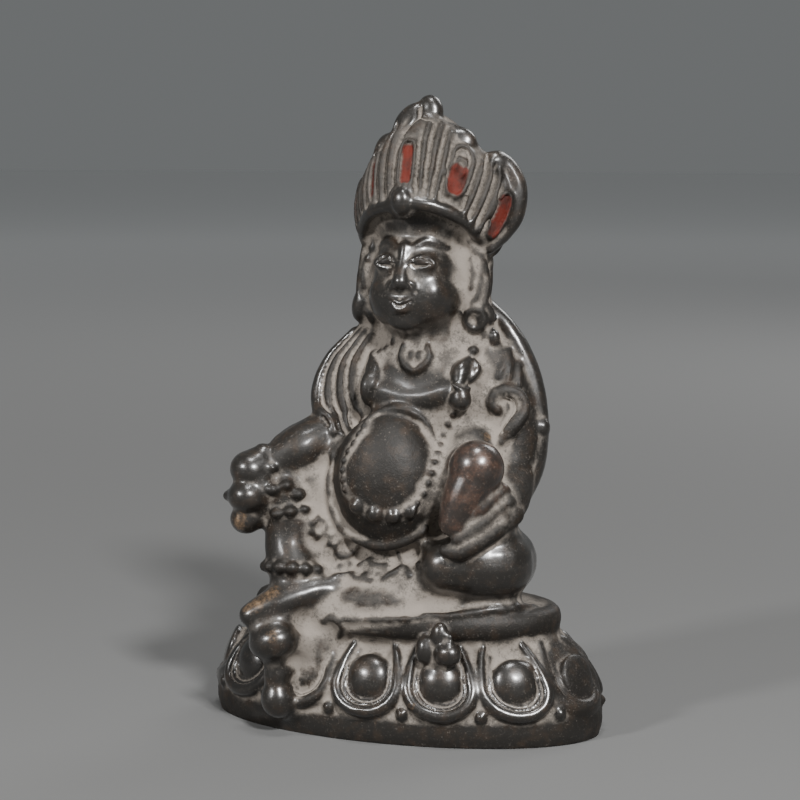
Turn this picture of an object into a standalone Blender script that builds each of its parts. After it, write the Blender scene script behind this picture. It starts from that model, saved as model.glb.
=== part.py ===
"""A small cast bronze statue of the wealth deity Jambhala, seated on a lotus base.

The statue is one casting. Its masses are modelled as overlapping balls, limbs and straps,
melted into one skin by a voxel remesh, then cut flat underneath. It faces -Y, and the
origin is the centre of the underside.
"""

import math

import bpy
from mathutils import Euler, Matrix, Vector
from mathutils.bvhtree import BVHTree

# Driving sizes, in metres
HEIGHT = 0.080
BASE_WIDTH = 0.0525
BASE_DEPTH = 0.0280
LOTUS_HEIGHT = 0.0126
DISC_WIDTH = 0.0416
DISC_DEPTH = 0.0236
DISC_THICKNESS = 0.0034

# The lotus petals round the base
PETALS = 13
PETAL_WIDTH = 0.0099
PETAL_HEIGHT = 0.0082
PETAL_MIDDLE = 0.0075
PETAL_RIM = 0.00072
BOSS_WIDTH = 0.0059
BOSS_HEIGHT = 0.0059
BOSS_DEPTH = 0.0018

# A bead of the anklet
ANKLE_BEAD = 0.00085

# The skin: how far apart its points are, and how deep a corner is filled, first between the
# big masses and then round the ornaments
VOXEL = 0.00030
MASS_FILL = 0.0011
DETAIL_FILL = 0.00022
SOFTEN_ROUNDS = 3
TRIANGLES = 9700
CUT_DEPTH = 0.002

# The figure is laid out in eightieths of its own height, measured from the top of the seat
SEAT_TOP = LOTUS_HEIGHT + DISC_THICKNESS
UNIT = (HEIGHT - SEAT_TOP) / 80

# Limbs have this many sides, and this many steps from one given point to the next
SIDES = 16
STEPS = 6
END_RINGS = 4


class Clay:
    """Closed bodies, gathered as points and faces."""

    def __init__(self):
        self.points = []
        self.faces = []

    def rings(self, loops):
        """A closed body through rings of as many points each, with a flat face at both ends."""
        count = len(loops[0])
        first = len(self.points)
        for loop in loops:
            self.points += loop
        for ring in range(len(loops) - 1):
            low = first + ring * count
            for side in range(count):
                after = (side + 1) % count
                self.faces.append((low + side, low + after, low + count + after, low + count + side))
        top = first + (len(loops) - 1) * count
        self.faces.append(tuple(range(first + count - 1, first - 1, -1)))
        self.faces.append(tuple(range(top, top + count)))

    def take(self, data):
        """Adds a mesh that is already melted."""
        first = len(self.points)
        self.points += [point.co.copy() for point in data.vertices]
        self.faces += [tuple(first + corner for corner in face.vertices) for face in data.polygons]

    def mesh(self, name):
        data = bpy.data.meshes.new(name)
        data.from_pydata(self.points, [], self.faces)
        return data


def clear_scene():
    for obj in list(bpy.data.objects):
        bpy.data.objects.remove(obj)


def at(x, y, z):
    """A point of the figure, in its units: to its left, back, and up from the seat."""
    return Vector((x * UNIT, y * UNIT, SEAT_TOP + z * UNIT))


def spline(values, steps=STEPS):
    """Points or numbers on a smooth curve through the given ones."""
    ends = [values[0] * 2 - values[1], *values, values[-1] * 2 - values[-2]]
    found = []
    for i in range(1, len(ends) - 2):
        a, b, c, d = ends[i - 1 : i + 3]
        square = a * 2 - b * 5 + c * 4 - d
        cube = b * 3 - a - c * 3 + d
        for step in range(steps):
            t = step / steps
            found.append((b * 2 + (c - a) * t + square * t * t + cube * t**3) * 0.5)
    return [*found, values[-1]]


def along(values, place):
    """The value at a place, counted in steps, on the smooth curve through the given ones."""
    i = max(min(int(place), len(values) - 2), 0)
    t = place - i
    b, c = values[i], values[i + 1]
    a = values[i - 1] if i else b * 2 - c
    d = values[i + 2] if i + 2 < len(values) else c * 2 - b
    return (b * 2 + (c - a) * t + (a * 2 - b * 5 + c * 4 - d) * t * t + (b * 3 - a - c * 3 + d) * t**3) * 0.5


def evenly(points, count):
    """That many points at equal distances along a smooth curve through the given ones."""
    fine = spline([Vector(point) for point in points], 20)
    lengths = [0.0]
    for before, after in zip(fine, fine[1:]):
        lengths.append(lengths[-1] + (after - before).length)
    found = []
    for i in range(count):
        want = lengths[-1] * i / (count - 1)
        found.append(fine[next(k for k, length in enumerate(lengths) if length >= want * 0.9999)])
    return found


def ball(clay, centre, radii, turn=(0, 0, 0)):
    """An ellipsoid, turned by three angles in degrees."""
    turned = Euler([math.radians(angle) for angle in turn])
    matrix = Matrix.LocRotScale(centre, turned, Vector(radii))
    loops = []
    for row in range(1, 14):
        tilt = math.pi * (row / 14 - 0.5)
        angles = [2 * math.pi * side / 24 for side in range(24)]
        out, up = math.cos(tilt), math.sin(tilt)
        loops.append([matrix @ Vector((out * math.cos(a), out * math.sin(a), up)) for a in angles])
    clay.rings(loops)


def strap(clay, points, widths, depths, facing=(0, -1, 0.02), steps=STEPS):
    """A closed tube along a smooth curve, widths across it and depths towards facing."""
    points, widths, depths = spline(points, steps), spline(widths, steps), spline(depths, steps)
    last = len(points) - 1
    loops = []
    for i, point in enumerate(points):
        along = (points[min(i + 1, last)] - points[max(i - 1, 0)]).normalized()
        across = along.cross(Vector(facing)).normalized()
        out = across.cross(along).normalized()
        size = min(widths[i], depths[i])
        caps = range(END_RINGS, -1, -1) if i == 0 else range(END_RINGS + 1) if i == last else [0]
        for cap in caps:
            angle = cap / (END_RINGS + 0.4) * math.pi / 2
            reach = size * math.sin(angle) * (-1 if i == 0 else 1)
            shrink = math.cos(angle)
            loop = []
            for side in range(SIDES):
                turn = 2 * math.pi * side / SIDES
                spread = across * widths[i] * math.cos(turn) + out * depths[i] * math.sin(turn)
                loop.append(point + along * reach + spread * shrink)
            loops.append(loop)
    clay.rings(loops)


def figure_ball(clay, centre, radii, turn=(0, 0, 0)):
    ball(clay, at(*centre), [radius * UNIT for radius in radii], turn)


def figure_strap(clay, points, widths, depths, facing):
    widths = [width * UNIT for width in widths]
    strap(clay, [at(*point) for point in points], widths, [depth * UNIT for depth in depths], facing)


def figure_limb(clay, points, radii):
    """A round tube along a smooth curve, with its own radius at each point."""
    figure_strap(clay, points, radii, radii, (0.13, -0.35, 0.93))


class Skin:
    """The melted masses, for ornaments to be laid on."""

    def __init__(self, data):
        corners = [tuple(face.vertices) for face in data.polygons]
        self.tree = BVHTree.FromPolygons([point.co.copy() for point in data.vertices], corners)

    def front(self, x, z, lift=0.0):
        """The point of the front at a place across and up the figure, lifted off it."""
        found = self.tree.ray_cast(at(x, -60, z), Vector((0, 1, 0)))[0]
        if found is None:
            return self.near(at(x, 0, z), lift)
        return found + Vector((0, -lift * UNIT, 0))

    def near(self, point, lift=0.0):
        """The nearest point of the surface, lifted off it."""
        found, normal, _, _ = self.tree.find_nearest(point)
        return found + normal * lift * UNIT


def laid_limb(clay, skin, places, radii, lift=0.0, steps=STEPS):
    """A round strand over the front of the figure, through places across and up it."""
    flat = evenly([(x, z, 0) for x, z in places], (len(places) - 1) * steps + 1)
    points = [skin.front(x, z, lift) for x, z, _ in flat]
    sizes = [radius * UNIT for radius in spline(list(radii), steps)]
    strap(clay, points, sizes, sizes, (0.13, -0.35, 0.93), 1)


def draped(clay, skin, points, radii, lift=0.3):
    """A round fold that follows the nearest part of the surface."""
    fine = [skin.near(point, lift) for point in spline([at(*point) for point in points])]
    sizes = [radius * UNIT for radius in spline(list(radii))]
    strap(clay, fine, sizes, sizes, (0.13, -0.35, 0.93), 1)


def ribbon(clay, skin, points, widths, depths, lift=0.2):
    """A flat band that follows the nearest part of the surface."""
    fine = [skin.near(point, lift) for point in spline([at(*point) for point in points])]
    widths = [width * UNIT for width in spline(list(widths))]
    depths = [depth * UNIT for depth in spline(list(depths))]
    strap(clay, fine, widths, depths, (0.1, -1, 0.1), 1)


def beaded(clay, skin, points, count, radius, lift=0.3):
    """Beads at equal distances over the nearest part of the surface."""
    for point in evenly([at(*point) for point in points], count):
        ball(clay, skin.near(point, lift), [radius * UNIT] * 3)


def knob(clay, skin, point, radii, lift=0.2, turn=(0, 0, 0)):
    ball(clay, skin.near(at(*point), lift), [radius * UNIT for radius in radii], turn)


def base_inset(height):
    """How far the lotus wall stands in from the base's outline at a height."""
    share = height / LOTUS_HEIGHT
    return LOTUS_HEIGHT * (0.66 * max(share - 0.2, 0) ** 1.6 + 0.9 * max(0.12 - share, 0) ** 1.5)


def base_normal(angle):
    return Vector((math.sin(angle) / BASE_WIDTH, -math.cos(angle) / BASE_DEPTH, 0)).normalized()


def on_base(angle, height, out=0.0):
    """A point on the lotus wall. Angle 0 is the front centre, and it grows towards +X."""
    inset = base_inset(height)
    half_width, half_depth = BASE_WIDTH / 2 - inset, BASE_DEPTH / 2 - inset
    point = Vector((half_width * math.sin(angle), -half_depth * math.cos(angle), height))
    return point + base_normal(angle) * out


def petal_angles():
    """The angle of each petal and of each gap after it, spaced evenly round the outline."""
    fine = 1440
    half_width, half_depth = BASE_WIDTH / 2, BASE_DEPTH / 2
    lengths = [0.0]
    for i in range(fine):
        angle = 2 * math.pi * (i + 0.5) / fine
        step = math.hypot(half_width * math.cos(angle), half_depth * math.sin(angle))
        lengths.append(lengths[-1] + step * 2 * math.pi / fine)
    found = []
    for half in range(PETALS * 2):
        want = lengths[-1] * half / (PETALS * 2)
        found.append(2 * math.pi * next(k for k, length in enumerate(lengths) if length >= want) / fine)
    return found


def stack(clay, levels, point_of):
    """A closed body with a ring for each level, where point_of gives the points of a ring."""
    angles = [2 * math.pi * i / 96 for i in range(96)]
    clay.rings([[point_of(angle, level) for angle in angles] for level in levels])


def lotus_wall(clay):
    levels = [-CUT_DEPTH, *[LOTUS_HEIGHT * row / 14 for row in range(15)]]

    def point(angle, height):
        return on_base(angle, max(height, 0)) + Vector((0, 0, min(height, 0)))

    stack(clay, levels, point)


def moon_disc(clay):
    """The rounded slab that the figure sits on."""
    edge = DISC_THICKNESS / 2

    def point(angle, tilt):
        out = edge * (max(math.cos(tilt), 0) ** 0.6 - 1)
        x = (DISC_WIDTH / 2 + out) * math.sin(angle)
        y = -(DISC_DEPTH / 2 + out) * math.cos(angle)
        return Vector((x, y, LOTUS_HEIGHT + edge + edge * math.sin(tilt)))

    stack(clay, [math.pi * (step / 10 - 0.5) for step in range(11)], point)


def relief(angle):
    """The carving is worn away towards the two ends of the base."""
    return 1 - 0.7 * abs(math.sin(angle)) ** 5


def petal(clay, angle, turn_per_length):
    """A round lotus petal: a U-shaped lip, a finer ridge inside it, and a boss."""
    half_width, half_height = PETAL_WIDTH / 2 - PETAL_RIM, PETAL_HEIGHT / 2 - PETAL_RIM
    normal = base_normal(angle)
    turned = (-20, 0, math.degrees(math.atan2(normal.x, -normal.y)))
    depth = PETAL_RIM * relief(angle)
    for share, thick, proud in ((1.0, 1.25, 0.55), (0.75, 0.42, 0.5)):
        lip = [(-0.74, 1.3), (-0.92, 0.75)]
        lip += [(math.cos(math.radians(a)), math.sin(math.radians(a))) for a in range(-190, 11, 20)]
        lip += [(0.92, 0.75), (0.74, 1.3)]
        points = []
        for across, up in lip:
            turn = angle + half_width * share * across * turn_per_length
            points.append(on_base(turn, PETAL_MIDDLE + half_height * share * up, depth * proud))
        widths = [PETAL_RIM * thick * (0.7 if up > 0.5 else 1) for _, up in lip]
        strap(clay, points, widths, [depth * 1.3 * thick] * len(lip), normal, 3)
    middle = on_base(angle, PETAL_MIDDLE + PETAL_RIM * 0.6, BOSS_DEPTH * 0.1)
    ball(clay, middle, (BOSS_WIDTH / 2, BOSS_DEPTH * relief(angle), BOSS_HEIGHT / 2), turned)


def petal_gap(clay, angle):
    """The tip of a petal of the back row, between two front ones: ribs over a drop."""
    depth = PETAL_RIM * relief(angle)
    for side in (-1, 0, 1):
        tip = []
        for share, spread in ((0.62, 0.9), (0.3, 0.7), (0.0, 0.62), (-0.3, 0.75 if side else 0)):
            turn = angle + side * spread * PETAL_RIM * 2.4 / BASE_WIDTH
            tip.append(on_base(turn, PETAL_MIDDLE + PETAL_HEIGHT * share, depth * 0.15))
        strap(clay, tip, [PETAL_RIM * 0.42] * 4, [depth * 0.8] * 4, base_normal(angle))
    low = on_base(angle, PETAL_MIDDLE - PETAL_HEIGHT * 0.42, depth * 0.1)
    ball(clay, low, (PETAL_RIM * 1.1, depth * 1.3, PETAL_RIM * 1.1))


def lotus_petals(clay, skin):
    angles = petal_angles()
    for index, angle in enumerate(angles):
        if index % 2:
            petal_gap(clay, angle)
            continue
        apart = (angles[(index + 1) % len(angles)] - angles[index - 1]) % (2 * math.pi)
        along_it = (on_base(angle + apart / 2, 0) - on_base(angle - apart / 2, 0)).length
        petal(clay, angle, apart / along_it)


def foot_bud(clay):
    """The bud on its knobbed stalk in front of the base, under the hanging foot."""
    front = -BASE_DEPTH / 2
    for x, y, height, radii in (
        (-14.6, 0.0, 0.28, (2.9, 3.0, 3.1)),
        (-14.8, 0.6, 0.48, (2.5, 3.0, 1.7)),
        (-14.9, -1.0, 0.75, (4.2, 3.6, 3.1)),
    ):
        centre = Vector((x * UNIT, front + y * UNIT, SEAT_TOP * height))
        ball(clay, centre, [radius * UNIT for radius in radii], (0, -14, 0))


def jewels(clay, skin):
    """The flaming jewels between the seat and the front petals."""
    for x, y, z, radii in (
        (13.2, -15.4, -5.4, (2.2, 1.7, 1.9)),
        (9.2, -14.8, -5.2, (1.6, 1.6, 2.3)),
        (11.6, -14.8, -2.8, (1.5, 1.3, 2.3)),
    ):
        figure_ball(clay, (x, y, z), radii)
    for reach in (2.5, 3.2):
        arc = []
        for step in range(6):
            round_it = math.radians(80 + step * 30)
            x, z = 13.2 + reach * math.cos(round_it), -5.4 + reach * 0.9 * math.sin(round_it)
            arc.append((x, -15.2, z))
        figure_limb(clay, arc, [0.35] * 6)


def trunk(clay):
    figure_ball(clay, (3.0, 1.0, 6.0), (15.5, 9.0, 8.0))
    figure_ball(clay, (3.0, 1.0, 17.0), (13.5, 8.2, 14.0))
    figure_ball(clay, (3.6, 0.8, 32.5), (12.5, 7.8, 10.5))
    figure_limb(clay, [(-5.5, 2.4, 38.0), (3.5, 2.0, 41.5), (12.5, 2.8, 38.0)], [4.4, 5.2, 4.4])
    figure_limb(clay, [(3.5, 1.0, 38.0), (3.2, 0.5, 46.0)], [6.4, 6.0])
    figure_limb(clay, [(-2.2, -4.8, 33.4), (3.8, -5.2, 32.4), (9.6, -4.6, 33.8)], [2.6, 2.4, 2.6])
    figure_ball(clay, (0.0, -7.4, 19.6), (8.9, 7.3, 10.9))
    figure_ball(clay, (-9.5, -1.5, 18.0), (6.0, 5.5, 11.0))
    figure_ball(clay, (12.5, -3.5, 20.0), (5.5, 5.0, 9.0))


def belly(clay, skin):
    """The rolled belt under the belly, the arc over it, and its beads."""
    belt = [(-8.7, -8.0, 24.0), (-8.9, -8.6, 19.5), (-8.1, -9.6, 14.6), (-5.6, -10.4, 11.2)]
    belt += [(-1.0, -11.2, 9.7), (3.6, -10.8, 10.2), (7.4, -9.2, 12.8)]
    draped(clay, skin, belt, [0.3, 0.5, 0.8, 0.95, 1.0, 0.9, 0.5], 0.2)
    arc = [(-2.4, -10.0, 28.4), (-1.4, -8.4, 30.2), (1.9, -7.6, 31.0)]
    arc += [(4.8, -7.2, 30.2), (6.8, -6.8, 28.2), (7.9, -6.6, 25.6)]
    draped(clay, skin, arc, [0.3, 0.5, 0.6, 0.6, 0.5, 0.35], 0.25)
    left = [(-2.6, -11.0, 28.6), (-3.4, -12.2, 26.4), (-4.9, -12.6, 23.8)]
    left += [(-5.4, -13.0, 21.4), (-4.8, -13.4, 18.8)]
    right = [(10.3, -5.6, 30.4), (8.8, -5.6, 27.6), (8.4, -7.2, 24.9), (8.5, -9.8, 22.3), (7.6, -11.2, 18.8)]
    beaded(clay, skin, left, 8, 0.5)
    beaded(clay, skin, [*right, (6.6, -11.9, 17.2)], 10, 0.52)
    for place in ((-2.6, -13.9, 16.4), (0.4, -14.1, 15.4), (3.4, -13.6, 15.1), (5.7, -12.4, 15.9)):
        knob(clay, skin, place, (1.25, 0.9, 1.15), 0.05)


def lap(clay):
    """The cloth over the crossed legs, down over the front of the seat."""
    figure_ball(clay, (1.0, -5.0, 2.8), (12.0, 7.6, 5.0))
    figure_ball(clay, (-2.0, -8.2, 1.2), (10.0, 6.6, 3.6))
    figure_ball(clay, (-6.0, -9.3, -1.4), (8.6, 6.2, 4.0))
    figure_ball(clay, (-9.6, -10.8, -8.0), (4.2, 5.2, 8.0))
    figure_ball(clay, (-9.5, -6.5, 9.5), (4.5, 4.5, 6.0))


def crumples(clay, skin):
    """The crumpled folds of the robe under the belly, its hem, and its edge over the seat."""
    folds = (
        ((-8.6, -9.6, 9.4), (-7.2, -9.8, 7.6), (-5.6, -8.8, 7.9), (-4.6, -9.2, 8.8)),
        ((-6.9, -12.0, 5.0), (-5.1, -10.8, 4.9), (-3.4, -11.6, 4.3), (-1.0, -12.0, 4.5)),
        ((-4.2, -9.6, 6.2), (-2.6, -9.3, 7.2), (-1.4, -9.6, 6.3), (0.5, -10.1, 6.6)),
        ((1.0, -11.6, 4.7), (2.3, -11.1, 5.6), (3.2, -10.8, 7.0)),
        ((3.0, -10.2, 8.4), (4.2, -10.6, 6.8), (5.0, -10.8, 5.2)),
        ((-7.9, -15.2, -2.0), (-6.2, -15.4, -1.2), (-4.8, -15.0, -2.4), (-5.6, -13.8, -4.3)),
    )
    for fold in folds:
        draped(clay, skin, fold, [0.35, 0.55, 0.5, 0.35][: len(fold)], 0.15)
    lumps = [(-7.2, -10.1, 6.0), (-5.8, -9.6, 6.4), (-2.4, -12.0, 5.6)]
    for place in (*lumps, (4.6, -10.9, 9.2), (5.6, -11.3, 7.6)):
        knob(clay, skin, place, (0.75, 0.7, 0.6), 0.0)
    hem = [(8.5, -13.4, 0.4), (12.5, -12.4, 0.6), (16.8, -10.2, 0.7)]
    hem += [(20.6, -6.6, 0.7), (22.4, -1.5, 0.5)]
    draped(clay, skin, hem, [0.5, 0.7, 0.8, 0.7, 0.5], 0.1)
    edge = [(-7.5, -15.3, -1.6), (-3.3, -15.3, -1.3), (0.9, -15.0, -1.0)]
    edge += [(5.4, -14.4, -0.6), (8.5, -13.8, 0.0)]
    draped(clay, skin, edge, [0.3, 0.5, 0.55, 0.5, 0.3], 0.1)


def rosettes(clay, skin):
    """The two small flowers of the robe between the belly and the raised knee."""
    for x, y, z, radius, bumps in ((-10.2, -11.4, 12.2, 1.35, 7), (-7.9, -10.6, 10.2, 0.9, 5)):
        for step in range(bumps):
            round_it = 2 * math.pi * step / bumps
            place = (x + radius * math.cos(round_it), y, z + radius * math.sin(round_it))
            knob(clay, skin, place, (0.6, 0.6, 0.6), 0.1)


def right_arm(clay):
    """The arm on -X, whose hand holds a fruit on the raised knee."""
    figure_limb(clay, [(-6.0, 2.4, 39.5), (-9.3, 1.6, 34.5), (-11.0, 0.2, 28.0)], [4.4, 5.0, 5.0])
    figure_limb(clay, [(-14.0, -2.0, 27.4), (-16.9, -5.4, 26.0), (-18.4, -8.6, 24.8)], [1.7, 1.7, 1.4])
    figure_limb(clay, [(-10.6, -1.0, 26.6), (-14.4, -6.0, 24.0), (-18.2, -10.2, 22.0)], [4.6, 4.4, 3.2])
    figure_ball(clay, (-13.8, -6.5, 16.5), (5.0, 5.0, 7.0))
    figure_ball(clay, (-17.2, -10.4, 16.6), (4.2, 3.8, 4.6))


def fruit(clay, skin):
    """The hand as three worn knuckles round the fruit, with its stalk, and a bumpy palm."""
    figure_limb(clay, [(-20.4, -12.2, 21.4), (-20.2, -12.8, 17.4), (-20.8, -12.4, 13.8)], [3.2, 3.2, 2.5])
    figure_ball(clay, (-21.2, -13.0, 21.0), (3.5, 3.5, 3.1), (0, 12, 0))
    figure_ball(clay, (-21.2, -14.0, 17.0), (3.4, 3.7, 2.9))
    figure_ball(clay, (-22.0, -13.2, 13.2), (2.6, 3.1, 2.5))
    figure_ball(clay, (-24.4, -14.8, 16.9), (1.0, 1.0, 0.9))
    figure_ball(clay, (-19.4, -11.8, 24.2), (1.5, 1.3, 0.9), (0, 20, 0))
    for x, y, z, size in (
        (-17.1, -14.0, 18.2, 1.3),
        (-15.0, -13.2, 18.9, 1.1),
        (-13.4, -12.2, 17.4, 1.2),
        (-12.4, -12.2, 15.0, 1.0),
        (-14.2, -13.6, 14.8, 1.2),
        (-16.3, -14.2, 14.4, 1.1),
        (-17.6, -12.6, 21.6, 0.9),
    ):
        knob(clay, skin, (x, y, z), (size, size, size * 0.75), 0.1)


def left_arm(clay):
    """The arm on +X, whose hand holds the jewel mongoose over the folded leg."""
    upper = [(11.6, 3.2, 39.5), (14.8, 3.0, 34.5), (17.0, 2.2, 27.5), (17.2, 0.5, 20.5)]
    figure_limb(clay, upper, [4.6, 5.2, 5.2, 4.8])
    figure_limb(clay, [(17.4, 0.0, 20.5), (18.6, -5.0, 17.5), (18.6, -8.0, 15.5)], [4.6, 4.0, 3.4])
    figure_ball(clay, (13.5, -7.5, 20.0), (4.5, 4.0, 6.0))


def left_fingers(clay, skin):
    """The hand under the mongoose: a thumb and two worn fingers."""
    lowest = [(21.0, -7.6, 15.6), (18.0, -11.6, 12.6), (14.6, -13.8, 10.3), (12.2, -14.0, 10.4)]
    figure_limb(clay, lowest, [1.7, 1.5, 1.3, 1.1])
    figure_limb(clay, [(20.4, -8.6, 17.6), (17.4, -12.2, 14.6), (14.2, -14.0, 12.2)], [1.3, 1.3, 1.1])
    figure_limb(clay, [(19.6, -8.8, 19.4), (17.6, -12.0, 17.2), (16.0, -13.2, 16.0)], [1.2, 1.2, 0.9])


def mongoose(clay, skin):
    """A worn, pear-shaped body with its head down."""
    figure_ball(clay, (16.0, -10.8, 22.8), (4.4, 4.1, 4.5), (0, 18, 0))
    figure_limb(clay, [(15.8, -11.0, 21.6), (14.2, -12.4, 18.0), (13.3, -13.2, 15.0)], [3.9, 3.3, 2.5])


def right_leg(clay):
    """The leg on -X, with its knee raised and its foot set down on the bud."""
    figure_limb(clay, [(-2.0, 3.0, 6.0), (-9.0, -2.5, 9.5), (-14.2, -7.5, 12.5)], [7.5, 7.0, 5.6])
    figure_limb(clay, [(-15.6, -10.0, 12.5), (-15.5, -11.0, 9.5), (-14.2, -12.2, 4.5)], [4.6, 3.9, 4.1])
    foot = [(-7.6, -11.2, 2.9), (-11.2, -13.6, 2.3), (-15.3, -16.4, 0.9), (-18.9, -18.8, -1.1)]
    figure_strap(clay, foot, [2.6, 3.0, 3.0, 2.1], [2.2, 2.5, 2.3, 1.8], (0, -0.3, 1))


def anklet(clay, skin):
    """A string of square beads round the ankle."""
    for step in range(11):
        round_it = math.radians(-100 + step * 27)
        x = -14.2 - math.sin(round_it) * 4.5
        centre = at(x, -11.9 - math.cos(round_it) * 4.5, 5.5 + 0.9 * math.cos(round_it))
        ball(clay, centre, (ANKLE_BEAD * 1.1, ANKLE_BEAD * 1.1, ANKLE_BEAD * 0.95))


def left_leg(clay):
    """The folded leg on +X, with its shin across the front of the seat."""
    figure_limb(clay, [(7.0, 3.0, 6.5), (13.5, 0.5, 7.2), (17.4, -3.2, 7.4)], [7.5, 6.5, 5.8])
    figure_limb(clay, [(17.6, -4.8, 7.4), (14.2, -8.0, 7.3), (10.4, -10.2, 7.0)], [5.8, 5.5, 4.2])


def head(clay):
    figure_ball(clay, (2.6, -1.0, 51.5), (7.2, 7.4, 8.4))
    figure_ball(clay, (2.6, -2.8, 48.4), (7.5, 6.2, 6.1))


def cheeks(clay):
    figure_ball(clay, (2.6, -6.6, 44.9), (3.0, 1.9, 1.9))
    for side in (-1, 1):
        figure_ball(clay, (2.6 + 3.6 * side, -5.0, 49.0), (3.0, 3.0, 3.2))


def hair(clay):
    """The hair round the head, and down behind the ears to the shoulders."""
    figure_ball(clay, (3.3, 2.8, 52.0), (9.4, 7.0, 11.5))
    figure_ball(clay, (3.3, 4.4, 46.0), (8.6, 5.0, 8.0))
    figure_ball(clay, (3.4, 6.6, 64.0), (5.5, 3.6, 5.5))
    for side in (-1, 1):
        fall = [(3.0 + x * side, y, z) for x, y, z in ((8.2, 0.4, 55.0), (8.6, 0.2, 50.0), (9.6, 0.6, 45.0))]
        figure_limb(clay, fall, [2.0, 2.2, 2.0])


def locks(clay, skin):
    """Locks down the back of the head, on either side of the middle."""
    for step in range(11):
        x = -5.4 + step * 1.8
        depth = 9.0 - 0.11 * (x - 3.4) ** 2
        fall = [(x * 0.9 + 0.3, depth - 0.6, 58.0), (x + 0.4, depth, 52.0)]
        fall += [(x, depth, 47.0), (x * 1.05, depth, 42.5)]
        draped(clay, skin, fall, [0.6, 0.8, 0.8, 0.5], 0.2)


def face(clay, skin):
    """Full cheeks, long lidded eyes, a broad nose and a small mouth, by the usual proportions."""
    figure_limb(clay, [(2.6, -6.8, 56.4), (2.6, -7.7, 53.6), (2.6, -8.8, 51.0)], [0.9, 1.0, 1.35])
    for side in (-1, 1):
        figure_ball(clay, (2.6 + 1.4 * side, -8.3, 50.5), (0.95, 1.0, 0.8))
        brow = [(2.6 + x * side, z) for x, z in ((0.9, 56.0), (3.2, 57.2), (6.0, 56.0))]
        laid_limb(clay, skin, brow, [0.5, 0.7, 0.4], -0.2)
        figure_ball(clay, (2.6 + 3.4 * side, -6.8, 53.8), (2.0, 1.1, 1.1))
        lid = [(2.6 + (3.4 + x * 2.3) * side, 53.7 + 1.2 * (1 - x * x)) for x in (-1, -0.5, 0, 0.5, 1)]
        laid_limb(clay, skin, lid, [0.15, 0.32, 0.34, 0.32, 0.15], 0.5)
    for z, wide, thick in ((47.8, 2.1, 0.55), (46.7, 1.6, 0.62)):
        lip = [(2.6 + wide * x, z + 0.25 * abs(x)) for x in (-1, -0.5, 0, 0.5, 1)]
        laid_limb(clay, skin, lip, [0.15, thick * 0.9, thick, thick * 0.9, 0.15], 0.1)


def ears(clay, skin):
    """Long ears behind the cheeks, and the round earring with its scroll and drop."""
    for side, x in ((-1, -6.6), (1, 11.9)):
        outer = [(x - 0.4 * side, -1.6, 56.6), (x + 0.9 * side, -1.2, 55.4), (x + 1.1 * side, -1.2, 52.0)]
        outer += [(x + 0.8 * side, -1.6, 48.6), (x, -2.0, 47.2)]
        draped(clay, skin, outer, [0.4, 0.6, 0.6, 0.7, 0.6], 0.2)
        inner = [(x - 0.3 * side, -1.8, 54.6), (x + 0.1 * side, -1.8, 52.4), (x - 0.1 * side, -1.9, 49.6)]
        draped(clay, skin, inner, [0.3, 0.4, 0.4], 0.15)
    ring = []
    for step in range(13):
        round_it = math.radians(step * 30)
        ring.append((12.3 + 1.45 * math.cos(round_it), -1.4, 45.0 + 1.6 * math.sin(round_it)))
    draped(clay, skin, ring, [0.6] * 13, 0.5)
    draped(clay, skin, [(13.3, -0.9, 47.4), (14.5, -0.4, 46.4), (14.7, -0.3, 44.6)], [0.3, 0.6, 0.4], 0.4)
    knob(clay, skin, (14.7, 0.5, 42.0), (1.05, 1.0, 1.4), 0.4)
    knob(clay, skin, (15.4, 0.8, 45.2), (0.5, 0.5, 0.8), 0.3)
    figure_ball(clay, (-7.4, -0.4, 46.8), (1.6, 2.0, 3.0), (0, 12, 0))


# The crown's wall: points up each column from the band to the top, from its edge on -X, over
# the five leaves, to its edge on +X
CROWN = (
    ((-7.6, 3.6, 56.0), (-8.8, 4.0, 59.5), (-9.0, 4.4, 62.5), (-8.4, 5.0, 65.0)),
    ((-7.0, -1.6, 57.5), (-8.0, -0.6, 61.0), (-8.3, 1.0, 64.2), (-7.9, 2.8, 67.0)),
    ((-3.2, -5.8, 61.6), (-3.8, -4.6, 66.4), (-3.8, -2.4, 70.4), (-3.2, 0.6, 74.0)),
    ((3.1, -8.7, 63.2), (3.0, -7.4, 69.0), (2.9, -4.8, 74.4), (3.5, 0.2, 79.0)),
    ((9.6, -6.8, 62.2), (10.6, -4.8, 67.4), (10.9, -2.6, 71.2), (10.2, 0.2, 74.4)),
    ((14.0, -2.4, 57.2), (16.0, -1.2, 61.6), (16.9, 0.0, 65.8), (15.8, 2.2, 69.4)),
    ((14.6, 2.6, 54.6), (17.4, 2.2, 59.0), (18.6, 2.6, 63.6), (17.4, 3.6, 67.6)),
)
CROWN_THICKNESS = 2.2
# How far the notch between two leaves comes down, from the edge on -X to the edge on +X
NOTCHES = (0.25, 0.22, 0.13, 0.17, 0.14, 0.12)
BAND = (
    (-7.0, 1.8, 55.5),
    (-6.8, -1.4, 58.2),
    (-3.6, -5.8, 61.5),
    (2.6, -9.0, 63.0),
    (7.6, -8.0, 62.7),
    (11.8, -4.8, 60.2),
    (13.6, 0.5, 55.5),
)


def crown_point(side, rise, out=0.0):
    """A point of the crown's wall: side counts its columns, and rise goes from 0 up to 1."""
    columns = [along([Vector(point) for point in column], rise * 3) for column in CROWN]
    point = along(columns, side)
    outward = Vector((point.x - 3.3, point.y - 8.0, 3.0)).normalized()
    return point + outward * out


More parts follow.
